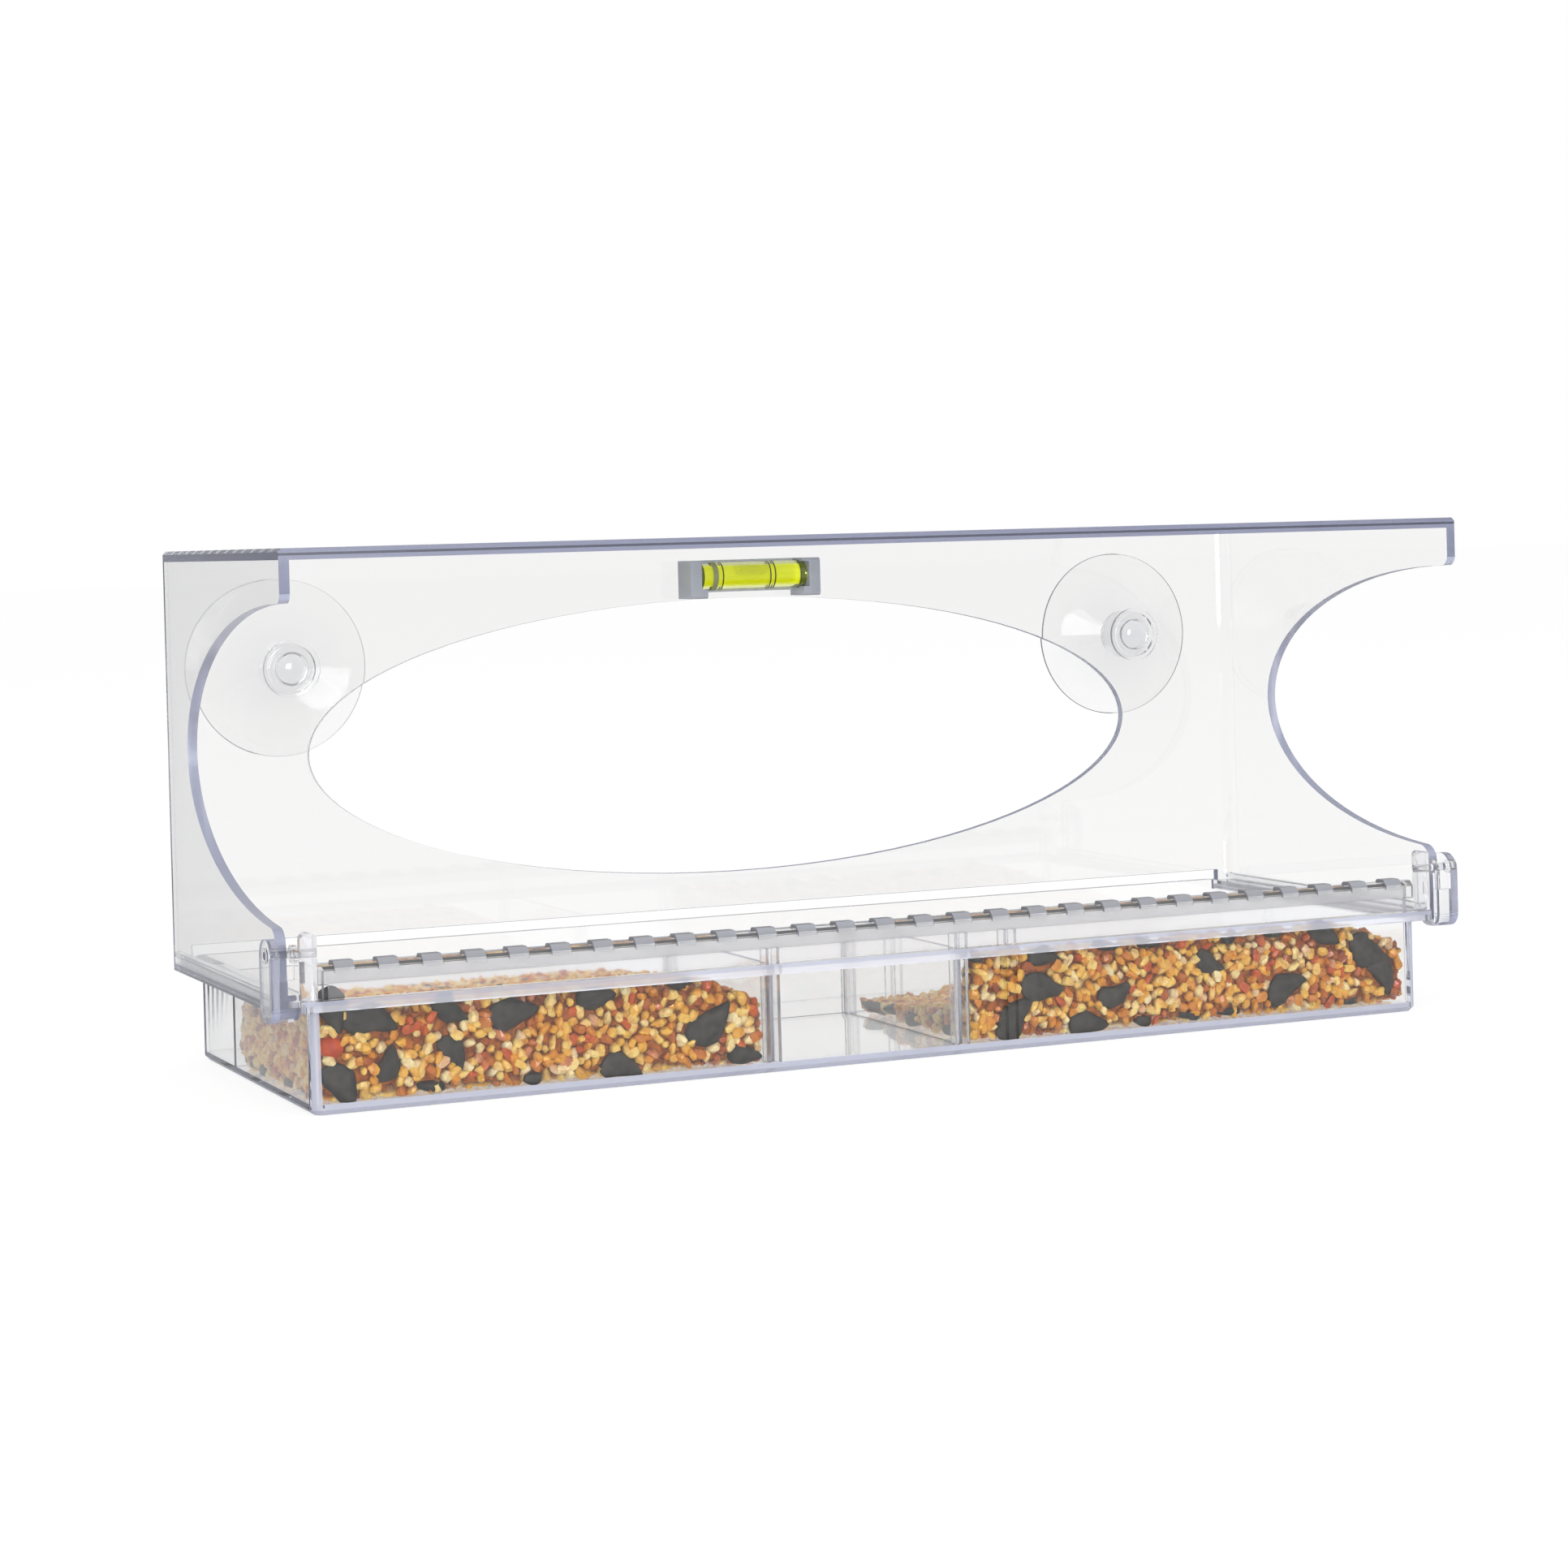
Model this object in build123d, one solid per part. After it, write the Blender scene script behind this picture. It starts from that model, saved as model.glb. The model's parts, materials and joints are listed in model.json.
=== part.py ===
from build123d import *
import os

# Window bird feeder: a clear housing held to the glass by suction cups, with a seed tray that slides out.
# Millimetres, +Z up. The width is along X, the front faces -Y and the window is at the back, at +Y.
# The origin is under the middle of the whole feeder, on the surface that the tray stands on.

overrun = 1.0
slide_gap = 0.2
face_gap = 0.3
pin_clearance = 0.05
edge_round_share = 0.33

# Housing
housing_width = 380.0
housing_depth = 138.0
housing_height = 128.0
side_wall = 3.0
roof_thickness = 3.2
back_wall = 3.0
back_corner_radius = 6.0
inner_corner_radius = 3.0
roof_edge_bevel = 1.0
lip_height = 15.0
lip_corner_radius = 3.0
cutout_back_margin = 30.0
wing_height = 23.0
wing_setback = 14.0
wing_corner_radius = 5.0
wing_toe_radius = 2.0
oval_end_margin = 45.0
oval_top_margin = 20.0
oval_bottom_margin = 18.0
back_panel_rise = 6.8
lip_thickness = 1.9
lip_width = 5.4
guide_width = 2.4
guide_thickness = 1.6
boss_radius = 9.0
boss_wall = 1.5
boss_height = 1.6

# Tray
tray_drop = 28.5
tray_inset = 9.0
tray_front_setback = 13.0
tray_back_setback = 1.0
tray_wall = 2.8
tray_floor = 2.6
tray_corner_radius = 4.0
tray_bottom_bevel = 1.5
tray_inner_radius = 1.6
flange_thickness = 1.5
flange_inset = 3.5
flange_corner_radius = 3.0
fascia_height = 3.0
fascia_reach = 4.3
fascia_end_radius = 1.4
mid_wall_setback = 97.5
mid_wall_thickness = 2.4
mid_wall_drop = 0.8
rail_seat_height = 7.8

# Corner posts
post_radius = 2.65
post_inset = 8.15
post_axis_setback = 11.3
post_height = 21.9
post_slot_width = 1.3
post_slot_height = 6.0
post_slot_depth = 1.8
post_slot_drop = 1.0

# Dividers and their guides
divider_thickness = 1.8
divider_left_x = -41.5
divider_right_x = 20.0
spare_guide_x = 36.5
divider_gap = 0.3
divider_front_gap = 2.5
divider_corner_radius = 2.5
rib_thickness = 1.0
rib_reach = 4.2

# Perch rail
rail_width = 5.6
rail_height = 5.2
rail_cover = 3.4
rail_top_bevel = 1.4
rail_end_gap = 0.3
rail_slot_gap = 0.1
rail_rib_width = 5.8
rail_rib_pitch = 12.7
rail_rib_rise = 0.8
rail_rib_drop = 3.0
rail_rib_bevel = 1.8

# Corner latches and their pins
pin_radius = 1.2
pin_head_radius = 2.2
pin_head_height = 0.9
pin_rise = 17.0
pin_end_gap = 0.8
cheek_thickness = 2.6
cheek_gap = 0.6
cheek_depth = 12.0
cheek_front_setback = 7.6
cheek_rise = 4.2
cheek_top_radius = 5.5
latch_toe_gap = 0.3
latch_toe_thickness = 1.5
cheek_toe_radius = 4.5
latch_web_thickness = 1.8
latch_web_height = 10.5
finger_thickness = 1.4
finger_gap = 0.4
finger_radius = 2.5

# Suction cups
cup_radius = 28.0
cup_stand_off = 13.0
cup_inset = 40.0
cup_drop = 37.5
cup_rim_thickness = 1.2
cup_dish_depth = 5.2
cup_stub_radius = 8.0
cup_neck_radius = 4.2
cup_hole_gap = 0.05
cup_head_radius = 5.3
cup_head_height = 3.2

# Spirit level
level_offset = 3.5
level_length = 46.0
level_top_drop = 7.5
level_height = 12.4
level_depth = 11.0
level_end_width = 6.0
level_plate_thickness = 1.8
level_edge_radius = 1.2
level_glue_film = 0.1
level_snap_width = 8.2
level_foot_height = 1.9
vial_radius = 4.6
vial_wall = 1.1
vial_socket_depth = 2.0
vial_end_gap = 0.1
vial_fit_gap = 0.05
vial_floor = 1.6
vial_plug_length = 2.4
liquid_gap = 0.05
bubble_radius = 1.6
bubble_length = 12.0
bubble_travel = 4.5
bubble_gap = 0.3
bubble_end_bevel = 0.9

# Places worked out from the sizes
half_width = housing_width / 2
overall_depth = housing_depth + cup_stand_off
front_y = -overall_depth / 2
back_y = front_y + housing_depth
window_y = overall_depth / 2
panel_y = back_y - back_wall
bottom_z = tray_drop
roof_z = bottom_z + housing_height
cutout_depth = housing_depth - cutout_back_margin
cutout_half_height = (housing_height - lip_height - wing_height) / 2
cutout_z = bottom_z + wing_height + cutout_half_height
wing_y = front_y + wing_setback
inner_half_width = half_width - side_wall
lip_top_z = bottom_z + lip_thickness
flange_z = lip_top_z + slide_gap
rim_z = flange_z + flange_thickness
tray_half_width = half_width - tray_inset
tray_front_y = front_y + tray_front_setback
tray_back_y = back_y - tray_back_setback
inside_front_y = tray_front_y + tray_wall
mid_wall_y = front_y + mid_wall_setback
wall_top_z = rim_z + rail_seat_height
rail_bottom_z = wall_top_z - rail_cover
post_x = half_width - post_inset
post_y = front_y + post_axis_setback
post_base_z = rim_z - fascia_height
post_top_z = post_base_z + post_height
pin_z = bottom_z + pin_rise
cup_x = half_width - cup_inset
cup_z = roof_z - cup_drop
oval_half_width = half_width - oval_end_margin
oval_half_height = (housing_height - oval_top_margin - oval_bottom_margin) / 2
oval_z = bottom_z + oval_bottom_margin + oval_half_height


def block(x_low, x_high, y_low, y_high, z_low, z_high):
    """A box between two corners."""
    size = (x_high - x_low, y_high - y_low, z_high - z_low)
    middle = ((x_low + x_high) / 2, (y_low + y_high) / 2, (z_low + z_high) / 2)
    return Pos(*middle) * Box(*size)


def mirrored(shape):
    """The same shape on the other side of the middle."""
    return mirror(shape, about=Plane.YZ)


def along_x(profile, x_low, x_high):
    """Extrude a profile drawn on the YZ plane from one X to another."""
    return Pos(x_low, 0, 0) * extrude(profile, amount=x_high - x_low, dir=(1, 0, 0))


def rod_x(radius, x_low, x_high, y, z):
    """A round rod along X."""
    disc = Plane.YZ * Pos(y, z) * Circle(radius)
    return along_x(disc, x_low, x_high)


def rod_y(radius, y_low, y_high, x, z):
    """A round rod along Y."""
    disc = Plane.XZ * Pos(x, z) * Circle(radius)
    return Pos(0, y_low, 0) * extrude(disc, amount=y_high - y_low, dir=(0, 1, 0))


# The housing: one clear moulding, open at the front and below

def housing_shell():
    """Roof, back panel and side panels, with rounded outer corners."""
    outer = block(-half_width, half_width, front_y, back_y, bottom_z, roof_z)
    upright = outer.edges().filter_by(Axis.Z).group_by(Axis.Y)[-1]
    outer = fillet(upright, back_corner_radius)
    top = outer.faces().sort_by(Axis.Z)[-1]
    outer = chamfer(top.edges().group_by(Axis.Y)[1:], roof_edge_bevel)
    cavity = block(-inner_half_width, inner_half_width, front_y - overrun, panel_y,
                   bottom_z - overrun, roof_z - roof_thickness)
    upright = cavity.edges().filter_by(Axis.Z).group_by(Axis.Y)[-1]
    cavity = fillet(upright, inner_corner_radius)
    return outer - cavity


def oval_reach(setback):
    """The side oval's half height at a distance behind the front."""
    return cutout_half_height * (1 - (setback / cutout_depth) ** 2) ** 0.5


def corner_waste(y, z, radius, up):
    """What a front corner loses to a round about y and z; up is 1 above the round and -1 below it."""
    z_low, z_high = sorted((z, z + up * (radius + overrun)))
    square = block(-half_width - overrun, half_width + overrun, y - radius - overrun, y, z_low, z_high)
    return square - rod_x(radius, -half_width - 2 * overrun, half_width + 2 * overrun, y, z)


def side_cutouts():
    """Half-oval openings in both side panels, and the step back of the wings below them."""
    oval = Plane.YZ * Pos(front_y, cutout_z) * Ellipse(cutout_depth, cutout_half_height)
    opening = along_x(oval, -half_width - overrun, half_width + overrun)
    step = block(-half_width - overrun, half_width + overrun, front_y - overrun, wing_y,
                 bottom_z - overrun, cutout_z)
    wing_z = cutout_z - oval_reach(wing_setback + wing_corner_radius) - wing_corner_radius
    wing_top = corner_waste(wing_y + wing_corner_radius, wing_z, wing_corner_radius, 1)
    wing_toe = corner_waste(wing_y + wing_toe_radius, bottom_z + wing_toe_radius, wing_toe_radius, -1)
    lip_z = cutout_z + oval_reach(lip_corner_radius) + lip_corner_radius
    lip_tip = corner_waste(front_y + lip_corner_radius, lip_z, lip_corner_radius, -1)
    return opening + step + wing_top + wing_toe + lip_tip


def oval_window():
    """The long oval opening in the back panel."""
    oval = Plane.XZ * Pos(0, oval_z) * Ellipse(oval_half_width, oval_half_height)
    return Pos(0, panel_y - overrun, 0) * extrude(oval, amount=back_wall + 2 * overrun, dir=(0, 1, 0))


def wing_rail():
    """The lip that carries the tray and the guide above it, on the right wing's inner face."""
    root_x = inner_half_width + side_wall / 2
    lip = block(inner_half_width - lip_width, root_x, wing_y, back_y - back_wall / 2, bottom_z, lip_top_z)
    toe = lip.edges().filter_by(Axis.Y).sort_by(Axis.X)[0:2]
    lip = fillet(toe, lip_thickness * edge_round_share)
    guide_z = rim_z + slide_gap
    guide = block(inner_half_width - guide_width, root_x, wing_y, panel_y + back_wall / 2,
                  guide_z, guide_z + guide_thickness)
    toe = guide.edges().filter_by(Axis.Y).sort_by(Axis.X)[0:2]
    guide = fillet(toe, guide_thickness * edge_round_share)
    return lip + guide


def cup_boss(x):
    """The ring on the back panel round a suction cup's head."""
    ring = rod_y(boss_radius, panel_y - boss_height, panel_y + back_wall / 2, x, cup_z)
    well = rod_y(boss_radius - boss_wall, panel_y - boss_height - overrun, panel_y, x, cup_z)
    return ring - well


def cup_hole(x):
    """The hole in the back panel for a suction cup's neck."""
    radius = cup_neck_radius + cup_hole_gap
    return rod_y(radius, panel_y - boss_height - overrun, back_y + overrun, x, cup_z)


def build_housing():
    """The whole housing as one solid."""
    shell = housing_shell() - side_cutouts() - oval_window()
    panel_foot = block(lip_width - inner_half_width, inner_half_width - lip_width, panel_y - overrun,
                       back_y + overrun, bottom_z - overrun, bottom_z + back_panel_rise)
    shell = shell - panel_foot
    rail = wing_rail()
    shell = shell + rail + mirrored(rail)
    for x in (-cup_x, cup_x):
        shell = shell + cup_boss(x)
        shell = shell - cup_hole(x)
    return shell


# The tray: a drawer that hangs by its flanges on the wings' lips

def tray_shell():
    """Floor, end walls, back wall and the wall's lower front, with rounded corners."""
    outer = block(-tray_half_width, tray_half_width, tray_front_y, tray_back_y, 0, rim_z)
    outer = fillet(outer.edges().filter_by(Axis.Z), tray_corner_radius)
    outer = chamfer(outer.faces().sort_by(Axis.Z)[0].edges(), tray_bottom_bevel)
    cavity = block(tray_wall - tray_half_width, tray_half_width - tray_wall, inside_front_y,
                   tray_back_y - tray_wall, tray_floor, rim_z + overrun)
    cavity = fillet(cavity.edges().filter_by(Axis.Z), tray_inner_radius)
    return outer - cavity


def side_flange():
    """The right flange, which slides between the wing's lip and its guide."""
    flange = block(tray_half_width - tray_wall / 2, half_width - flange_inset, tray_front_y,
                   panel_y - inner_corner_radius, flange_z, rim_z)
    corners = flange.edges().filter_by(Axis.Z).group_by(Axis.X)[-1]
    return fillet(corners, flange_corner_radius)


def fascia():
    """The strip across the front, level with the rim, between the two posts' outer sides."""
    reach_x = post_x + post_radius
    strip = block(-reach_x, reach_x, tray_front_y - fascia_reach, wing_y - face_gap, post_base_z, rim_z)
    corners = strip.edges().filter_by(Axis.Z).group_by(Axis.Y)[0]
    return fillet(corners, fascia_end_radius)


def front_wall_reach():
    """How far the raised front wall runs to each side, up to the tray's rounded corners."""
    return tray_half_width - tray_corner_radius


def corner_post(side):
    """A round post with an arched top, and the web that joins it to the front wall."""
    x = side * post_x
    post = Pos(x, post_y, (post_base_z + post_top_z - post_radius) / 2) * Cylinder(
        post_radius, post_top_z - post_radius - post_base_z)
    cap = Pos(x, post_y, post_top_z - post_radius) * Cylinder(post_radius, 2 * post_radius)
    arch = rod_y(post_radius, post_y - post_radius, post_y + post_radius, x, post_top_z - post_radius)
    x_low, x_high = sorted((x, side * (front_wall_reach() - overrun)))
    web = block(x_low, x_high, post_y, wing_y - face_gap, post_base_z, rail_bottom_z - face_gap)
    return post + (cap & arch) + web


def post_cuts(side):
    """The pin's hole through a post and the slot below it."""
    x = side * post_x
    hole = rod_x(pin_radius, x - post_radius - overrun, x + post_radius + overrun, post_y, pin_z)
    slot_top = pin_z - pin_radius - post_slot_drop
    outside = side * (post_x + post_radius)
    x_low, x_high = sorted((outside - side * post_slot_depth, outside + side * overrun))
    slot = block(x_low, x_high, post_y - post_slot_width / 2, post_y + post_slot_width / 2,
                 slot_top - post_slot_height, slot_top)
    return hole + slot


def guide_pair(x, wall_y, direction, top_z):
    """Two upright ribs on a wall, with a divider's thickness between them."""
    inner = divider_thickness / 2 + divider_gap
    y_low, y_high = sorted((wall_y - direction * overrun, wall_y + direction * rib_reach))
    right = block(x + inner, x + inner + rib_thickness, y_low, y_high, tray_floor / 2, top_z)
    left = block(x - inner - rib_thickness, x - inner, y_low, y_high, tray_floor / 2, top_z)
    return right + left


def build_tray():
    """The whole tray as one solid."""
    tray = tray_shell()
    mid_wall = block(tray_wall / 2 - tray_half_width, tray_half_width - tray_wall / 2,
                     mid_wall_y, mid_wall_y + mid_wall_thickness, tray_floor / 2, rim_z - mid_wall_drop)
    front_wall = block(-front_wall_reach(), front_wall_reach(), tray_front_y, inside_front_y,
                       post_base_z, wall_top_z)
    flange = side_flange()
    tray = tray + mid_wall + front_wall + flange + mirrored(flange) + fascia()
    for x in (divider_left_x, divider_right_x, spare_guide_x):
        tray = tray + guide_pair(x, inside_front_y, 1, rail_bottom_z - face_gap)
        tray = tray + guide_pair(x, mid_wall_y, -1, rim_z - mid_wall_drop)
    for side in (-1, 1):
        tray = tray + corner_post(side) - post_cuts(side)
    return tray


def build_divider(x):
    """A flat divider with rounded upper corners, standing between its guides."""
    y_low = inside_front_y + divider_front_gap
    y_high = mid_wall_y - face_gap
    plate = block(x - divider_thickness / 2, x + divider_thickness / 2, y_low, y_high, tray_floor,
                  rim_z - mid_wall_drop)
    top = plate.edges().filter_by(Axis.X).group_by(Axis.Z)[-1]
    return fillet(top, divider_corner_radius)


# The perch rail: a ribbed strip pushed over the top of the tray's front wall

def rail_corners(rise):
    """The two upper corners of the rail's square outline on the YZ plane, grown by the ribs' rise."""
    middle_y = (tray_front_y + inside_front_y) / 2
    height = rail_height + rise
    outline = Plane.YZ * Pos(middle_y, rail_bottom_z + height / 2) * Rectangle(rail_width + 2 * rise, height)
    return outline.vertices().group_by(Axis.Z)[-1]


def build_perch_rail():
    """The rail between the posts, with its slot and its evenly spaced ribs."""
    reach = post_x - post_radius - rail_end_gap
    corners = rail_corners(0)
    rail = along_x(chamfer(corners, rail_top_bevel), -reach, reach)
    rib_profile = chamfer(rail_corners(rail_rib_rise), rail_rib_bevel)
    rib_z = rail_bottom_z + rail_height + rail_rib_rise - rail_rib_drop
    steps = int((2 * reach - rail_rib_width) / rail_rib_pitch)
    for index in range(steps + 1):
        x = (index - steps / 2) * rail_rib_pitch
        rib = along_x(rib_profile, x - rail_rib_width / 2, x + rail_rib_width / 2)
        cap = block(x - rail_rib_width, x + rail_rib_width, front_y, panel_y, rib_z, roof_z)
        rail = rail + (rib & cap)
    slot = block(-reach - overrun, reach + overrun, tray_front_y - rail_slot_gap,
                 inside_front_y + rail_slot_gap, rail_bottom_z - overrun, wall_top_z)
    return rail - slot


# The corner latches: a cheek outside the wing, a finger inside it and a toe under it, turning on a pin

def cheek_outline():
    """A cheek's outline on the YZ plane, with a round top and rounded lower corners."""
    y_low = front_y + cheek_front_setback
    y_high = y_low + cheek_depth
    z_low = bottom_z - latch_toe_gap - latch_toe_thickness
    z_high = pin_z + cheek_rise
    middle = Pos((y_low + y_high) / 2, (z_low + z_high) / 2)
    plate = Plane.YZ * middle * Rectangle(cheek_depth, z_high - z_low)
    top = plate.vertices().group_by(Axis.Z)[-1]
    plate = fillet(top, cheek_top_radius)
    foot = plate.vertices().group_by(Axis.Z)[0]
    return fillet(foot, cheek_toe_radius)


def build_latch():
    """The right latch as one solid."""
    x_inner = half_width + cheek_gap
    x_outer = x_inner + cheek_thickness
    cheek = along_x(cheek_outline(), x_inner, x_outer)
    finger_x = inner_half_width - finger_gap
    reach_x = finger_x - finger_thickness
    body = along_x(cheek_outline(), reach_x, x_inner + cheek_thickness / 2)
    y_low = front_y + cheek_front_setback
    toe_top_z = bottom_z - latch_toe_gap
    web_y = y_low + latch_web_thickness
    room = block(reach_x - overrun, x_outer, web_y, panel_y, toe_top_z, pin_z + cheek_depth)
    web_top = toe_top_z + latch_web_height
    above = block(reach_x - overrun, x_outer, y_low - overrun, panel_y, web_top, pin_z + cheek_depth)
    under_tray = block(reach_x - overrun, finger_x, web_y, panel_y, 0, toe_top_z + overrun)
    cup = body - room - above - under_tray
    finger = block(reach_x, finger_x, y_low, web_y, web_top - overrun, pin_z)
    eye = rod_x(finger_radius, reach_x, finger_x, post_y, pin_z)
    latch = cheek + cup + finger + eye
    hole = rod_x(pin_radius + pin_clearance, reach_x - overrun, x_outer + overrun, post_y, pin_z)
    return latch - hole


def build_latch_pin():
    """The right latch's pin, with a flat head outside the cheek."""
    head_x = half_width + cheek_gap + cheek_thickness + pin_clearance
    end_x = post_x - post_radius + pin_end_gap
    shank = rod_x(pin_radius, end_x, head_x + pin_head_height / 2, post_y, pin_z)
    head = rod_x(pin_head_radius, head_x, head_x + pin_head_height, post_y, pin_z)
    return shank + head


# The suction cups: soft clear discs pressed on the glass, each with a stub, a neck and a button head

def build_suction_cup(x):
    """One cup, turned about its own axis and stood against the window."""
    stub_y = cup_stand_off - slide_gap
    neck_y = cup_stand_off + back_wall + slide_gap
    head_y = neck_y + cup_head_height
    dish_y = cup_rim_thickness + cup_dish_depth
    with BuildPart() as cup:
        with BuildSketch(Plane.XY):
            with BuildLine():
                Polyline((0, 0), (cup_radius, 0), (cup_radius, cup_rim_thickness),
                         (cup_stub_radius, dish_y), (cup_stub_radius, stub_y),
                         (cup_neck_radius, stub_y), (cup_neck_radius, neck_y),
                         (cup_head_radius, neck_y), (cup_head_radius, head_y), (0, head_y), close=True)
            make_face()
        revolve(axis=Axis.Y)
    turned = Rot(Z=180) * cup.part
    return Pos(x, window_y, cup_z) * turned


# The spirit level: a bracket stuck to the back panel above the oval window, holding a sealed vial

def level_places():
    """The vial's axis and the bracket's limits in X, Y and Z."""
    x_mid = level_offset
    y_face = panel_y - level_glue_film
    y_front = y_face - level_depth
    y_axis = y_front + level_depth / 2
    z_top = roof_z - level_top_drop
    z_low = z_top - level_height
    return x_mid, y_front, y_face, y_axis, z_low, z_top


def level_axis_z():
    """The height of the vial's axis."""
    _, _, _, _, z_low, z_top = level_places()
    return (z_low + level_foot_height + z_top) / 2


def build_level_bracket():
    """Two open cradles that reach down as feet, joined by a thin plate behind the vial."""
    x_mid, y_front, y_face, y_axis, z_low, z_top = level_places()
    half = level_length / 2
    plate_low = z_low + level_foot_height
    bracket = block(x_mid - half, x_mid + half, y_face - level_plate_thickness, y_face, plate_low, z_top)
    for side in (-1, 1):
        x_low, x_high = sorted((x_mid + side * (half - level_end_width), x_mid + side * half))
        end = block(x_low, x_high, y_front, y_face, z_low, z_top)
        bracket = bracket + fillet(end.edges().filter_by(Axis.X).group_by(Axis.Y)[0], level_edge_radius)
    socket = vial_length() / 2 + vial_end_gap
    bore = rod_x(vial_radius + vial_fit_gap, x_mid - socket, x_mid + socket, y_axis, level_axis_z())
    mouth = block(x_mid - socket, x_mid + socket, y_front - overrun, y_axis,
                  level_axis_z() - level_snap_width / 2, level_axis_z() + level_snap_width / 2)
    return bracket - bore - mouth


def vial_length():
    """The vial's whole length, with its ends in the cradles."""
    return level_length - 2 * level_end_width + 2 * vial_socket_depth


def build_level_vial():
    """The clear tube, closed at its left end."""
    x_mid, _, _, y_axis, _, _ = level_places()
    half = vial_length() / 2
    tube = rod_x(vial_radius, x_mid - half, x_mid + half, y_axis, level_axis_z())
    bore_radius = vial_radius - vial_wall
    bore = rod_x(bore_radius, x_mid - half + vial_floor, x_mid + half + overrun, y_axis, level_axis_z())
    return tube - bore


def build_level_plug():
    """The plug that seals the vial's right end."""
    x_mid, _, _, y_axis, _, _ = level_places()
    end = x_mid + vial_length() / 2
    radius = vial_radius - vial_wall - liquid_gap / 2
    return rod_x(radius, end - vial_plug_length, end, y_axis, level_axis_z())


def liquid_ends():
    """The liquid's two ends in X."""
    x_mid = level_places()[0]
    half = vial_length() / 2
    return x_mid - half + vial_floor + liquid_gap, x_mid + half - vial_plug_length - liquid_gap


def bubble_axis_z():
    """The height of the bubble's axis, just under the top of the liquid."""
    return level_axis_z() + vial_radius - vial_wall - liquid_gap - bubble_radius - bubble_gap


def build_level_liquid():
    """The coloured liquid, with the room that the bubble moves in left open at its top."""
    x_mid, _, _, y_axis, _, _ = level_places()
    x_low, x_high = liquid_ends()
    radius = vial_radius - vial_wall - liquid_gap
    liquid = rod_x(radius, x_low, x_high, y_axis, level_axis_z())
    room_radius = bubble_radius + bubble_gap
    room_length = bubble_length + 2 * bubble_travel + 2 * bubble_gap
    room = rod_x(room_radius, x_mid - room_length / 2, x_mid + room_length / 2, y_axis, bubble_axis_z())
    slot = block(x_mid - room_length / 2, x_mid + room_length / 2, y_axis - room_radius, y_axis + room_radius,
                 bubble_axis_z(), level_axis_z() + vial_radius)
    return liquid - room - slot


def build_level_bubble():
    """The bubble at the middle of its travel, with bevelled ends."""
    x_mid, _, _, y_axis, _, _ = level_places()
    rod = rod_x(bubble_radius, x_mid - bubble_length / 2, x_mid + bubble_length / 2, y_axis, bubble_axis_z())
    return chamfer(rod.edges().filter_by(GeomType.CIRCLE), bubble_end_bevel)


def save(shape, name):
    """Write one piece to its own file."""
    export_step(shape, "parts/" + name + ".step")
    print(name, "volume", round(shape.volume, 1), "solids", len(shape.solids()))


def main():
    """Build every piece and write it."""
    os.makedirs("parts", exist_ok=True)
    save(build_housing(), "housing")
    save(build_tray(), "seed_tray")
    save(build_perch_rail(), "perch_rail")
    save(build_divider(divider_left_x), "divider_left")
    save(build_divider(divider_right_x), "divider_right")
    latch = build_latch()
    save(latch, "corner_latch_right")
    save(mirrored(latch), "corner_latch_left")
    pin = build_latch_pin()
    save(pin, "latch_pin_right")
    save(mirrored(pin), "latch_pin_left")
    save(build_suction_cup(-cup_x), "suction_cup_left")
    save(build_suction_cup(cup_x), "suction_cup_right")
    save(build_level_bracket(), "level_bracket")
    save(build_level_vial(), "level_vial")
    save(build_level_plug(), "level_plug")
    save(build_level_liquid(), "level_liquid")
    save(build_level_bubble(), "level_bubble")


main()
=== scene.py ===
import json
import logging
import math
from contextlib import contextmanager
from dataclasses import dataclass
from enum import Enum
from typing import Callable, Iterator, Sequence

import bmesh
import bpy
from bpy.types import ID, Material, Mesh, MeshPolygon, Node, NodeSocket, NodeTree, Object
from mathutils import Matrix, Vector, noise
from mathutils.bvhtree import BVHTree


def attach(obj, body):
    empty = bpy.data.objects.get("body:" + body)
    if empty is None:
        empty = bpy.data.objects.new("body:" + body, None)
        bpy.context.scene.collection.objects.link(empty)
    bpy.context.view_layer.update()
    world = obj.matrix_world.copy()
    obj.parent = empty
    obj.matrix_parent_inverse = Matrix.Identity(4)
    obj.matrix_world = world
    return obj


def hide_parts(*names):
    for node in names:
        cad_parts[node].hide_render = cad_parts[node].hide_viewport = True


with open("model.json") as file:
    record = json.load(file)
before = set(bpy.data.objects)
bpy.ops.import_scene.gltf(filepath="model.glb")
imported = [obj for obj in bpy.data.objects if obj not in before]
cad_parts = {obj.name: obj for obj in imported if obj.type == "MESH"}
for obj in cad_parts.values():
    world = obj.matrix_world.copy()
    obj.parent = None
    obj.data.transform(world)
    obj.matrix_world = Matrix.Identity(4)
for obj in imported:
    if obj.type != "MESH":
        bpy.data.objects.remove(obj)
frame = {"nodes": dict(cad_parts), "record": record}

log = logging.getLogger("window_feeder")

MM = 0.001
PHOTO_PIXELS = 1932
WELD_REACH = 1e-7
LONG_WAY = (60.0, 125.0)
DARKEST_MARK = 3.0
PROBE_SHARES = (0.2, 0.55, 0.9)
PROBE_DEPTH = 0.02
DIRECTION_STEPS = 200
PLANE_STEP = 0.05
FRONT_FACING = 0.9
LEVEL_FACING = 0.95
SEED_SMOOTH_DEGREES = 60.0
WHITE = (1.0, 1.0, 1.0)
Pair = tuple[float, float]
Point = tuple[float, float, float]
Colour = tuple[float, float, float] | str


class Side(Enum):
    """Which end of the feeder a piece belongs to, as the sign of its X."""

    LEFT = -1
    RIGHT = 1

    @property
    def word(self) -> str:
        """The word that ends a piece's name."""
        return self.name.lower()


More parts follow.
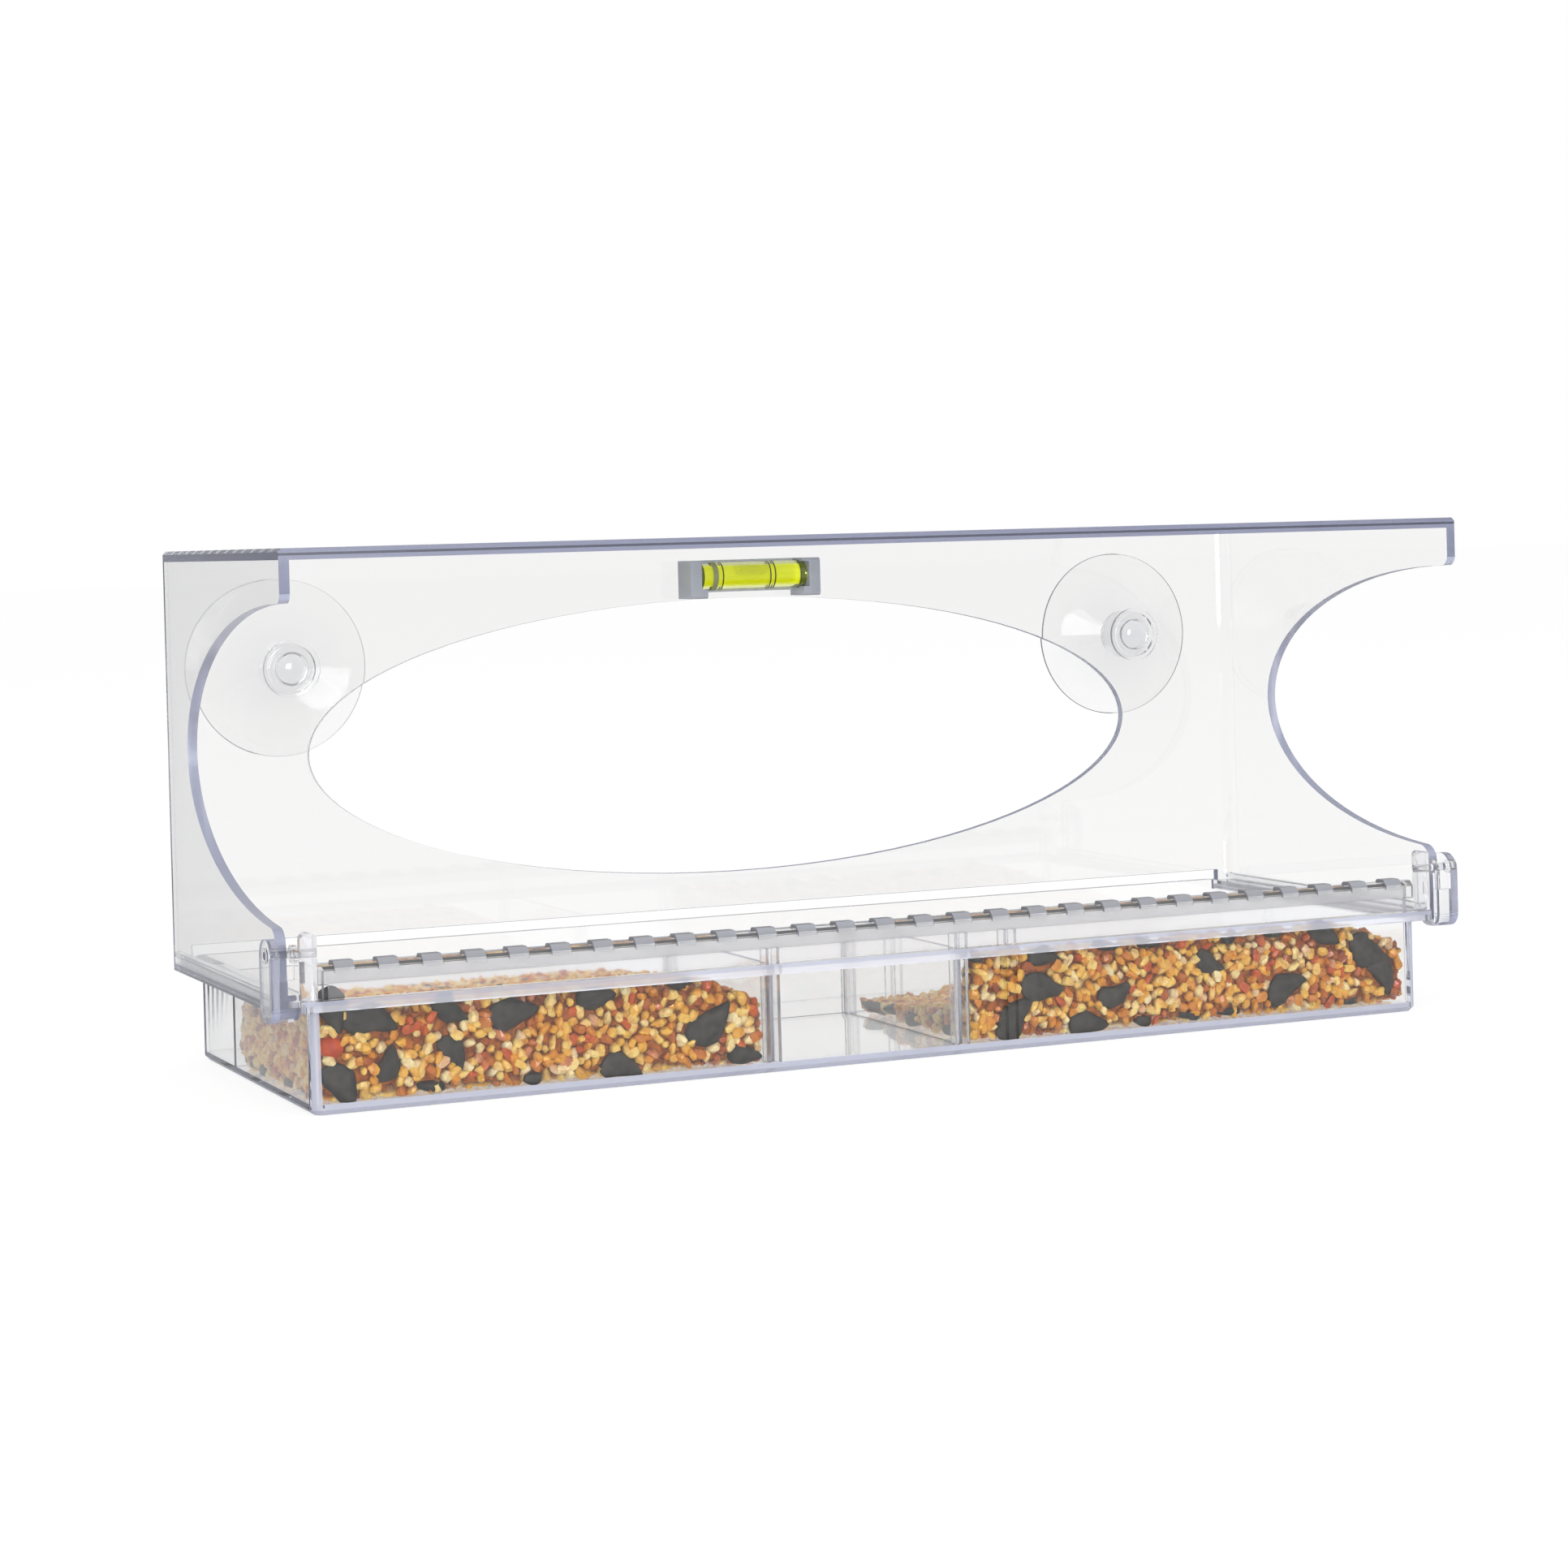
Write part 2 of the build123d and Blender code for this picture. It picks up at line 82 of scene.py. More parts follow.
class Turn(Enum):
    """The line that a turned piece goes round."""

    ALONG_X = "x"
    ALONG_Y = "y"


def opaque(colour: Colour) -> tuple[float, ...]:
    """Turn a colour into what a socket takes.

    Args:
        colour: three linear shares, or a screen colour written as six hexadecimal digits.

    Returns:
        The linear red, green and blue, with full alpha.
    """
    if isinstance(colour, str):
        parts = (int(colour[i:i + 2], 16) / 255 for i in (0, 2, 4))
        colour = tuple(c / 12.92 if c <= 0.04045 else ((c + 0.055) / 1.055) ** 2.4 for c in parts)
    return (*colour, 1.0)


def share_of(value: float) -> float:
    """The value kept between 0 and 1."""
    return min(1.0, max(0.0, value))


def new_object(name: str, data: ID) -> Object:
    """Link a mesh, a lamp or a camera to the scene as an object at the origin.

    Args:
        name: the object's name.
        data: what it shows; a mesh is already in the feeder's frame, in metres.

    Returns:
        The new object.
    """
    made = bpy.data.objects.new(name, data)
    bpy.context.scene.collection.objects.link(made)
    return made


def report(piece: Object) -> None:
    """Log a finished piece."""
    log.info("%s: %d faces", piece.name, len(piece.data.polygons))


@contextmanager
def editing(mesh: Mesh) -> Iterator[bmesh.types.BMesh]:
    """Open a mesh for editing, and write it back at the end.

    Args:
        mesh: the mesh to edit.

    Yields:
        Its editable form.
    """
    work = bmesh.new()
    work.from_mesh(mesh)
    yield work
    work.to_mesh(mesh)
    work.free()


def mesh_from(name: str, points: Sequence[Point], faces: Sequence[Sequence[int]]) -> Mesh:
    """Make a mesh from points and faces, with its faces turned outwards.

    Args:
        name: the mesh's name.
        points: the vertices, in metres.
        faces: the vertex numbers of each face.

    Returns:
        The new mesh.
    """
    mesh = bpy.data.meshes.new(name)
    mesh.from_pydata(points, [], faces)
    with editing(mesh) as work:
        bmesh.ops.remove_doubles(work, verts=work.verts, dist=WELD_REACH)
        bmesh.ops.recalc_face_normals(work, faces=work.faces)
    return mesh


def joined(name: str, meshes: Sequence[Mesh], finishes: Sequence[Material]) -> Object:
    """Join meshes into one piece, each with its own material.

    Args:
        name: the piece's name.
        meshes: the meshes to join.
        finishes: one material for each mesh.

    Returns:
        The joined piece.
    """
    work = bmesh.new()
    slots: list[Material] = []
    for mesh, finish in zip(meshes, finishes):
        if finish not in slots:
            slots.append(finish)
        before = len(work.faces)
        work.from_mesh(mesh)
        work.faces.ensure_lookup_table()
        for face in work.faces[before:]:
            face.material_index = slots.index(finish)
    mesh = bpy.data.meshes.new(name)
    work.to_mesh(mesh)
    work.free()
    for finish in slots:
        mesh.materials.append(finish)
    return new_object(name, mesh)


def shade_by_angle(mesh: Mesh, degrees: float) -> None:
    """Shade a mesh smooth, but keep the edges sharp that turn by more than an angle.

    Args:
        mesh: the mesh to shade.
        degrees: the sharpest turn that still looks smooth.
    """
    limit = math.radians(degrees)
    with editing(mesh) as work:
        for face in work.faces:
            face.smooth = True
        for edge in work.edges:
            edge.smooth = len(edge.link_faces) == 2 and edge.calc_face_angle(0.0) < limit


def middle_depth(faces: Sequence[tuple[float, float, int]]) -> float:
    """The depth that half the area of some faces stays under.

    Args:
        faces: the depth behind each face, its area and its number.

    Returns:
        That depth.
    """
    left = sum(area for _, area, _ in faces) / 2
    for depth, area, _ in sorted(faces):
        left -= area
        if left <= 0.0:
            return depth
    return 0.0


def mark_edges(mesh: Mesh, depth: float, full_depth: float) -> None:
    """Mark the faces that look into a wall along its length, as a sheet's cut edges do.

    Args:
        mesh: the mesh to mark, as the face attribute edge_on.
        depth: the plastic behind a face, in millimetres, up to which it looks like a wall.
        full_depth: the plastic behind a face from which it looks like an edge.

    The mark is 0 on a wall's face and 1 on an edge, and rises to 2 where the wall runs on for its whole
    depth. The darkest mark, 3, is kept for lines. Faces that lie in one plane get one mark.
    """
    tree = BVHTree.FromPolygons([v.co for v in mesh.vertices], [p.vertices for p in mesh.polygons])
    marks = mesh.attributes.new("edge_on", "FLOAT", "FACE").data
    planes: dict[tuple[int, ...], list[tuple[float, float, int]]] = {}
    for face in mesh.polygons:
        depths = []
        for corner in (mesh.vertices[i].co for i in face.vertices):
            for share in PROBE_SHARES:
                start = face.center.lerp(corner, share) - face.normal * PROBE_DEPTH * MM
                _, _, _, reach = tree.ray_cast(start, -face.normal)
                depths.append(reach or 0.0)
        direction = (round(c * DIRECTION_STEPS) for c in face.normal)
        plane = (*direction, round(face.normal.dot(face.center) / (PLANE_STEP * MM)))
        planes.setdefault(plane, []).append((sorted(depths)[len(depths) // 2] / MM, face.area, face.index))
    for faces in planes.values():
        behind = middle_depth(faces)
        edge = share_of((behind - depth) / (full_depth - depth))
        deep = share_of((behind - LONG_WAY[0]) / (LONG_WAY[1] - LONG_WAY[0]))
        for _, _, index in faces:
            marks[index].value = edge + deep


@dataclass(frozen=True)
class Strip:
    """A level strip of the faces that look to the front, which gets a mark of its own.

    Fields: the strip's lower and upper height, the furthest back that its faces lie, its half length along
    X, its mark, where it starts along X from the middle, and how squarely its faces look to the front, from
    -1 to 1. Sizes are in millimetres.
    """

    low_z: float
    high_z: float
    back_y: float
    half_length: float
    mark: float
    inner_x: float = 0.0
    facing: float = FRONT_FACING

    def holds(self, face: MeshPolygon) -> bool:
        """Whether a face lies in the strip, looks the right way and isn't level."""
        x, y, z = face.center / MM
        return (-face.normal.y > self.facing and abs(face.normal.z) < LEVEL_FACING and y < self.back_y
                and self.low_z < z < self.high_z and self.inner_x <= abs(x) < self.half_length)

    def cut(self, mesh: Mesh) -> None:
        """Cut the faces that look to the front along the strip's two long sides."""
        with editing(mesh) as work:
            for z in (self.low_z, self.high_z):
                front = [f for f in work.faces
                         if f.normal.y < -FRONT_FACING and f.calc_center_median().y < self.back_y * MM]
                parts = set(front)
                for face in front:
                    parts.update(face.edges)
                    parts.update(face.verts)
                bmesh.ops.bisect_plane(work, geom=list(parts), plane_co=(0.0, 0.0, z * MM),
                                       plane_no=(0.0, 0.0, 1.0), dist=WELD_REACH)

    def paint(self, mesh: Mesh) -> None:
        """Give the strip's faces its mark."""
        for face, mark in zip(mesh.polygons, mesh.attributes["edge_on"].data):
            if self.holds(face):
                mark.value = self.mark


ROOF_LINE = Strip(154.5, 155.2, -75.3, 200.0, DARKEST_MARK)
FROSTED_BAND = Strip(32.3, 39.7, -62.4, 172.0, 0.28)
FASCIA_LINE = Strip(30.9, 32.1, -66.7, 190.0, 1.7)
BOTTOM_EDGE = Strip(0.0, 1.5, 80.0, 200.0, 1.5, facing=-1.1)
FLOOR_EDGE = Strip(1.5, 3.1, -62.4, 182.0, 1.5)
CORNER_POSTS = Strip(1.5, 29.1, -60.3, 182.0, 1.35, inner_x=178.2, facing=0.4)


# Nodes


@dataclass
class NodeMaker:
    """Adds nodes to a tree. An input takes a value, a socket, or a node for its first output."""

    tree: NodeTree

    def feed(self, node: Node, inputs: dict[str | int, object]) -> None:
        """Set or link a node's inputs.

        Args:
            node: the node.
            inputs: what goes into each input, by the input's name or number.
        """
        for key, given in inputs.items():
            if isinstance(given, Node):
                given = given.outputs[0]
            if isinstance(given, NodeSocket):
                self.tree.links.new(given, node.inputs[key])
            else:
                node.inputs[key].default_value = given

    def node(self, kind: str, inputs: dict[str | int, object] | None = None, **settings: object) -> Node:
        """Add a node.

        Args:
            kind: the node's type name.
            inputs: what goes into each input.
            settings: attributes to set on it first.

        Returns:
            The new node.
        """
        made = self.tree.nodes.new(kind)
        for key, setting in settings.items():
            setattr(made, key, setting)
        self.feed(made, inputs or {})
        return made

    def maths(self, operation: str, *given: object) -> Node:
        """Add a node that works out one number from others."""
        return self.node("ShaderNodeMath", dict(enumerate(given)), operation=operation)

    def vector(self, operation: str, *given: object) -> Node:
        """Add a node that works out one vector from others."""
        return self.node("ShaderNodeVectorMath", dict(enumerate(given)), operation=operation)

    def attribute(self, name: str) -> NodeSocket:
        """Read a number that the mesh carries."""
        return self.node("ShaderNodeAttribute", attribute_name=name).outputs["Fac"]

    def spots(self, scale: float, detail: float) -> Node:
        """Add soft random spots that stay with the object."""
        place = self.node("ShaderNodeTexCoord").outputs["Object"]
        return self.node("ShaderNodeTexNoise", {"Vector": place, "Scale": scale, "Detail": detail})

    def ramp(self, share: object, stops: Sequence[tuple[float, Colour]]) -> Node:
        """Add a run of colours.

        Args:
            share: the place on the run, from 0 to 1.
            stops: the place and the tone of each colour.

        Returns:
            The node that gives the colour.
        """
        made = self.node("ShaderNodeValToRGB", {"Fac": share})
        elements = made.color_ramp.elements
        while len(elements) < len(stops):
            elements.new(0.5)
        for element, (place, tone) in zip(elements, stops):
            element.position = place
            element.color = opaque(tone)
        return made

    def mixed(self, share: object, first: object, second: object, blend: str = "MIX") -> NodeSocket:
        """Mix two colours.

        Args:
            share: how much of the second shows.
            first: the first colour, as a value or a node.
            second: the second colour.
            blend: the way that they mix.

        Returns:
            The mixed colour.
        """
        made = self.node("ShaderNodeMix", data_type="RGBA", blend_type=blend)
        ends = {end.name: number for number, end in enumerate(made.inputs) if end.type == "RGBA"}
        self.feed(made, {"Factor": share, ends["A"]: first, ends["B"]: second})
        return next(o for o in made.outputs if o.type == "RGBA")


# Finishes


@dataclass(frozen=True)
class Finish:
    """A named material with one main shader."""

    name: str

    def material(self) -> Material:
        """Build the material."""
        made = bpy.data.materials.new(self.name)
        made.use_nodes = True
        self.dress(NodeMaker(made.node_tree), made.node_tree.nodes["Principled BSDF"])
        return made

    def dress(self, maker: NodeMaker, shader: Node) -> None:
        """Set the main shader and what feeds it.

        Args:
            maker: the maker of the material's nodes.
            shader: the main shader.
        """
        raise NotImplementedError

    def mark(self, mesh: Mesh) -> None:
        """Mark the faces that look different from the rest, which are none unless a finish has edges."""


@dataclass(frozen=True)
class EdgeLook:
    """How a clear piece's edges look, where the light that runs along its walls comes out."""

    colour: Colour
    deep_colour: Colour
    darkest: Colour = "4c4e5c"
    clearness: float = 0.4
    roughness: float = 0.25
    depth: float = 4.4
    full_depth: float = 8.0


@dataclass(frozen=True)
class ClearPlastic(Finish):
    """A clear plastic whose tint deepens with the way that light travels inside it."""

    tint: Colour
    density: float
    roughness: float = 0.02
    ior: float = 1.49
    surface: Colour = WHITE
    clearness: float = 1.0
    # The glow is emission, painted light in a piece that is no lamp.
    glow: float = 0.0
    edge: EdgeLook | None = None

    def dress(self, maker: NodeMaker, shader: Node) -> None:
        """Set the surface, the edges' look and the tint inside."""
        surface = opaque(self.surface)
        maker.feed(shader, {"Base Color": surface, "Transmission Weight": self.clearness,
                            "Roughness": self.roughness, "IOR": self.ior,
                            "Emission Color": surface, "Emission Strength": self.glow})
        if self.edge:
            self.show_edges(maker, shader)
        inside = maker.node("ShaderNodeVolumeAbsorption", {
            "Color": opaque(self.tint), "Density": self.density})
        maker.feed(maker.tree.nodes["Material Output"], {"Volume": inside})

    def show_edges(self, maker: NodeMaker, shader: Node) -> None:
        """Let the marked faces take the edges' colour, clearness and roughness.

        Args:
            maker: the maker of the material's nodes.
            shader: the main shader.
        """
        mark = maker.attribute("edge_on")
        tones = (self.surface, self.edge.colour, self.edge.deep_colour, self.edge.darkest)
        stops = [(number / DARKEST_MARK, tone) for number, tone in enumerate(tones)]
        maker.feed(shader, {"Base Color": maker.ramp(maker.maths("DIVIDE", mark, DARKEST_MARK), stops)})
        for name, plain, marked in (("Transmission Weight", self.clearness, self.edge.clearness),
                                    ("Roughness", self.roughness, self.edge.roughness)):
            level = maker.node("ShaderNodeMapRange", {"Value": mark, "To Min": plain, "To Max": marked})
            maker.feed(shader, {name: level})

    def mark(self, mesh: Mesh) -> None:
        """Mark the faces that look like edges."""
        if self.edge:
            mark_edges(mesh, self.edge.depth, self.edge.full_depth)


@dataclass(frozen=True)
class PlainFinish(Finish):
    """An even, opaque finish."""

    colour: Colour
    roughness: float = 0.6

    def dress(self, maker: NodeMaker, shader: Node) -> None:
        """Set the colour and the roughness."""
        maker.feed(shader, {"Base Color": opaque(self.colour), "Roughness": self.roughness})


@dataclass(frozen=True)
class GrainFinish(Finish):
    """The mixed colours of cracked grain: one tone to a grain, toasted spots, and painted shade deep in the
    gaps between the chips.
    """

    tones: tuple[tuple[float, str], ...]
    toast: str
    toast_scale: float
    toast_share: float
    # The gap colour is painted shade deep between the chips, fading out over the given heights above the
    # core.
    gap: str
    gap_rise: Pair
    roughness: float
    toast_range: Pair = (0.45, 0.7)
    toast_detail: float = 3.0

    def dress(self, maker: NodeMaker, shader: Node) -> None:
        """Tone the grains, toast them in spots and paint shade deep in the gaps."""
        tone = maker.ramp(maker.attribute("grain_tone"), self.tones)
        toast = maker.node("ShaderNodeMapRange", {
            "Value": maker.spots(self.toast_scale, self.toast_detail), "From Min": self.toast_range[0],
            "From Max": self.toast_range[1], "To Max": self.toast_share})
        toasted = maker.mixed(toast, tone, opaque(self.toast), "MULTIPLY")
        # How far a point stands out of the painted gap shade, by its height over the core.
        unshaded = maker.node("ShaderNodeMapRange", {
            "Value": maker.attribute("grain_rise"), "From Min": self.gap_rise[0] * MM,
            "From Max": self.gap_rise[1] * MM}, interpolation_type="SMOOTHSTEP")
        colour = maker.mixed(unshaded, opaque(self.gap), toasted)
        maker.feed(shader, {"Base Color": colour, "Roughness": self.roughness})


@dataclass(frozen=True)
class MottledFinish(Finish):
    """Two close tones of one colour, mixed in soft spots."""

    dark: str
    light: str
    spot_scale: float
    roughness: float
    spot_range: Pair = (0.35, 0.68)
    spot_detail: float = 4.0

    def dress(self, maker: NodeMaker, shader: Node) -> None:
        """Mix the two tones."""
        stops = tuple(zip(self.spot_range, (self.dark, self.light)))
        colour = maker.ramp(maker.spots(self.spot_scale, self.spot_detail), stops)
        maker.feed(shader, {"Base Color": colour, "Roughness": self.roughness})


PANEL_FACE = (0.925, 0.922, 0.916)
TRAY_FACE = (0.978, 0.978, 0.975)
LAVENDER = "b4b8d2"
DEEP_EDGE = "868aa0"
PANEL_EDGE = EdgeLook("b2b6cb", DEEP_EDGE)
TRAY_EDGE = EdgeLook("d4d6e4", "b0b4c6")
CLEAR_HOUSING = ClearPlastic("clear_housing", LAVENDER, 4.0, surface=PANEL_FACE, edge=PANEL_EDGE)
CLEAR_TRAY = ClearPlastic("clear_tray", LAVENDER, 4.0, surface=TRAY_FACE, edge=TRAY_EDGE)
CLEAR_DIVIDER = ClearPlastic("clear_divider", "c8c8cc", 6.0, surface=TRAY_FACE, edge=TRAY_EDGE)
CLEAR_RAIL = ClearPlastic(
    "clear_rail", LAVENDER, 4.0, surface=(0.93, 0.93, 0.94), roughness=0.12, clearness=0.88,
    edge=EdgeLook("a2a4ac", "a2a4ac", clearness=0.25, roughness=0.45, depth=1.9, full_depth=2.3))
CLEAR_LATCH = ClearPlastic("clear_latch", "a8acc4", 14.0, surface=TRAY_FACE,
                           edge=EdgeLook("b4b8d0", DEEP_EDGE, clearness=0.5, roughness=0.2, depth=3.4))
LATCH_PIN = ClearPlastic("latch_pin", "8a8e9e", 120.0)
SOFT_CUP = ClearPlastic(
    "suction_cup", "b8bac4", 26.0, roughness=0.04, ior=1.33, surface=TRAY_FACE,
    edge=EdgeLook("8c8e9c", "8c8e9c", clearness=0.3, roughness=0.3, depth=25.0, full_depth=40.0))
LEVEL_BRACKET = ClearPlastic("level_bracket", "7f86a4", 60.0, 0.2, surface=(0.66, 0.7, 0.78),
                             clearness=0.5)
VIAL = ClearPlastic("level_vial", "d8dc60", 160.0, surface=(0.9, 0.93, 0.62))
# The liquid's glow is painted light.
LEVEL_LIQUID = ClearPlastic("level_liquid", "f8f910", 60.0, ior=1.36, surface="f2f424",
                            clearness=0.7, glow=0.3)
# The bubble's darker olive surface is painted shade standing in for the dark lines at its rim, and its glow
# is painted light.
LEVEL_BUBBLE = ClearPlastic("level_bubble", "fdfdd8", 10.0, ior=1.9, surface="b4b640",
                            clearness=0.85, glow=0.05)
LEVEL_MARK = PlainFinish("level_mark", "3c4030")
LEVEL_BAND = PlainFinish("level_band", "8f9468")
# The gap colour 6e2c04 is painted shade deep in the gaps between the chips.
GRAIN = GrainFinish(
    "cracked_grain",
    ((0.0, "a85008"), (0.08, "cc740e"), (0.2, "e89c22"), (0.36, "f6bc42"),
     (0.55, "fcd062"), (0.74, "fee088"), (0.9, "fff0bc"), (0.95, "d05c0c")),
    "d8842c", 420.0, 0.55, "6e2c04", (0.1, 1.5), 0.3)
# The core under the chips stands for deeper grain, darker as painted shade in the gaps between them.
GRAIN_SHADE = MottledFinish("grain_shade", "7a3606", "c87018", 500.0, 0.8)
KERNEL = MottledFinish("sunflower_hull", "171512", "403c34", 420.0, 0.6)
BERRY = MottledFinish("dried_berry", "b83408", "e25a1c", 300.0, 0.45)
FRUIT_CHIP = MottledFinish("dried_fruit", "d8641c", "f2a050", 300.0, 0.5)


# Moulded and turned pieces


@dataclass
class MouldedPiece:
    """A CAD node with its facets welded and its curved walls shaded smooth."""

    node: str
    finish: Finish
    body: str
    slot: str
    smooth_degrees: float = 32.0
    strips: Sequence[Strip] = ()

    def build(self) -> None:
        """Make the welded copy, dress it and let it stand for its node."""
        mesh = frame["nodes"][self.node].data.copy()
        with editing(mesh) as work:
            bmesh.ops.remove_doubles(work, verts=work.verts, dist=WELD_REACH)
        mesh.name = self.node + "_smooth"
        if mesh.has_custom_normals:
            mesh.attributes.remove(mesh.attributes["custom_normal"])
        for strip in self.strips:
            strip.cut(mesh)
        shade_by_angle(mesh, self.smooth_degrees)
        self.finish.mark(mesh)
        for strip in self.strips:
            strip.paint(mesh)
        piece = new_object(self.node + "_moulding", mesh)
        mesh.materials.clear()
        mesh.materials.append(self.finish.material())
        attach(piece, self.body)
        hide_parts(self.node)
        report(piece)


@dataclass
class TurnedPiece:
    """A round piece, made by turning an outline about its own axis."""

    name: str
    outline: Sequence[Pair]
    centre: Point
    turn: Turn
    finish: Finish
    body: str
    slot: str
    nodes: Sequence[str] = ()
    segments: int = 64
    smooth_degrees: float = 40.0

    def mesh(self) -> Mesh:
        """Turn the outline into a closed mesh."""
        points: list[Point] = []
        rows: list[list[int]] = []
        for along, radius in self.outline:
            count = self.segments if radius else 1
            rows.append(list(range(len(points), len(points) + count)))
            for i in range(count):
                angle = 2 * math.pi * i / self.segments
                across, up = radius * math.cos(angle), radius * math.sin(angle)
                offset = (along, across, up) if self.turn is Turn.ALONG_X else (across, along, up)
                points.append(tuple((c + o) * MM for c, o in zip(self.centre, offset)))
        faces: list[list[int]] = []
        for low, high in zip(rows, rows[1:]):
            for i in range(self.segments):
                j = (i + 1) % self.segments
                if len(low) == 1:
                    faces.append([low[0], high[i], high[j]])
                elif len(high) == 1:
                    faces.append([low[i], low[j], high[0]])
                else:
                    faces.append([low[i], low[j], high[j], high[i]])
        return mesh_from(self.name, points, faces)

    def build(self) -> None:
        """Make the piece, dress it and let it ride on its body."""
        mesh = self.mesh()
        shade_by_angle(mesh, self.smooth_degrees)
        self.finish.mark(mesh)
        mesh.materials.append(self.finish.material())
        piece = new_object(self.name, mesh)
        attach(piece, self.body)
        if self.nodes:
            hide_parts(*self.nodes)
        report(piece)


def arc(centre: Pair, radius: float, start: float, end: float, steps: int) -> list[Pair]:
    """Points along an outline's round corner, between two angles in degrees from the axis, both included."""
    angles = (math.radians(start + (end - start) * i / steps) for i in range(steps + 1))
    return [(centre[0] + radius * math.cos(a), centre[1] + radius * math.sin(a)) for a in angles]


@dataclass
class SuctionCup:
    """A clear soft cup pressed on the glass, with its neck through the back panel."""

    side: Side
    centre_x: float = 150.0
    centre_z: float = 119.0
    glass_y: float = 75.5
    radius: float = 28.0
    rim: float = 1.2
    rim_chamfer: float = 0.3
    dish_rise: float = 5.2
    dish_bend: float = 1.35
    dish_steps: int = 14
    stub_radius: float = 8.0
    stub_y: float = 12.8
    stub_round: float = 0.6
    stub_steps: int = 4
    neck_radius: float = 4.2
    neck_y: float = 16.2
    head_radius: float = 5.3
    head_chamfer: float = 0.4
    head_side: float = 1.2
    head_rise: float = 3.2
    crown_steps: int = 8
    segments: int = 96

    def outline(self) -> list[Pair]:
        """The cup's outline from the glass to the top of its head."""
        ends = [(0.0, 0.0), (0.0, self.radius - self.rim_chamfer), (-self.rim_chamfer, self.radius),
                (-self.rim, self.radius)]
        for i in range(1, self.dish_steps + 1):
            share = i / self.dish_steps
            ends.append((-self.rim - self.dish_rise * share ** self.dish_bend,
                         self.radius + (self.stub_radius - self.radius) * share))
        corner = (-self.stub_y + self.stub_round, self.stub_radius - self.stub_round)
        ends.append((corner[0], self.stub_radius))
        ends += arc(corner, self.stub_round, 90, 180, self.stub_steps)[1:]
        ends += [(-self.stub_y, self.neck_radius), (-self.neck_y, self.neck_radius),
                 (-self.neck_y, self.head_radius - self.head_chamfer),
                 (-self.neck_y - self.head_chamfer, self.head_radius)]
        crown, side = -self.neck_y - self.head_rise, -self.neck_y - self.head_side
        for i in range(self.crown_steps):
            turn = math.pi / 2 * i / self.crown_steps
            ends.append((side + (crown - side) * math.sin(turn), self.head_radius * math.cos(turn)))
        return ends + [(crown, 0.0)]

    def build(self) -> None:
        """Make the cup."""
        centre = (self.side.value * self.centre_x, self.glass_y, self.centre_z)
        node = "suction_cup_" + self.side.word
        TurnedPiece(node + "_turned", self.outline(), centre, Turn.ALONG_Y, SOFT_CUP, "housing",
                    "suction_cup", (node,), self.segments).build()


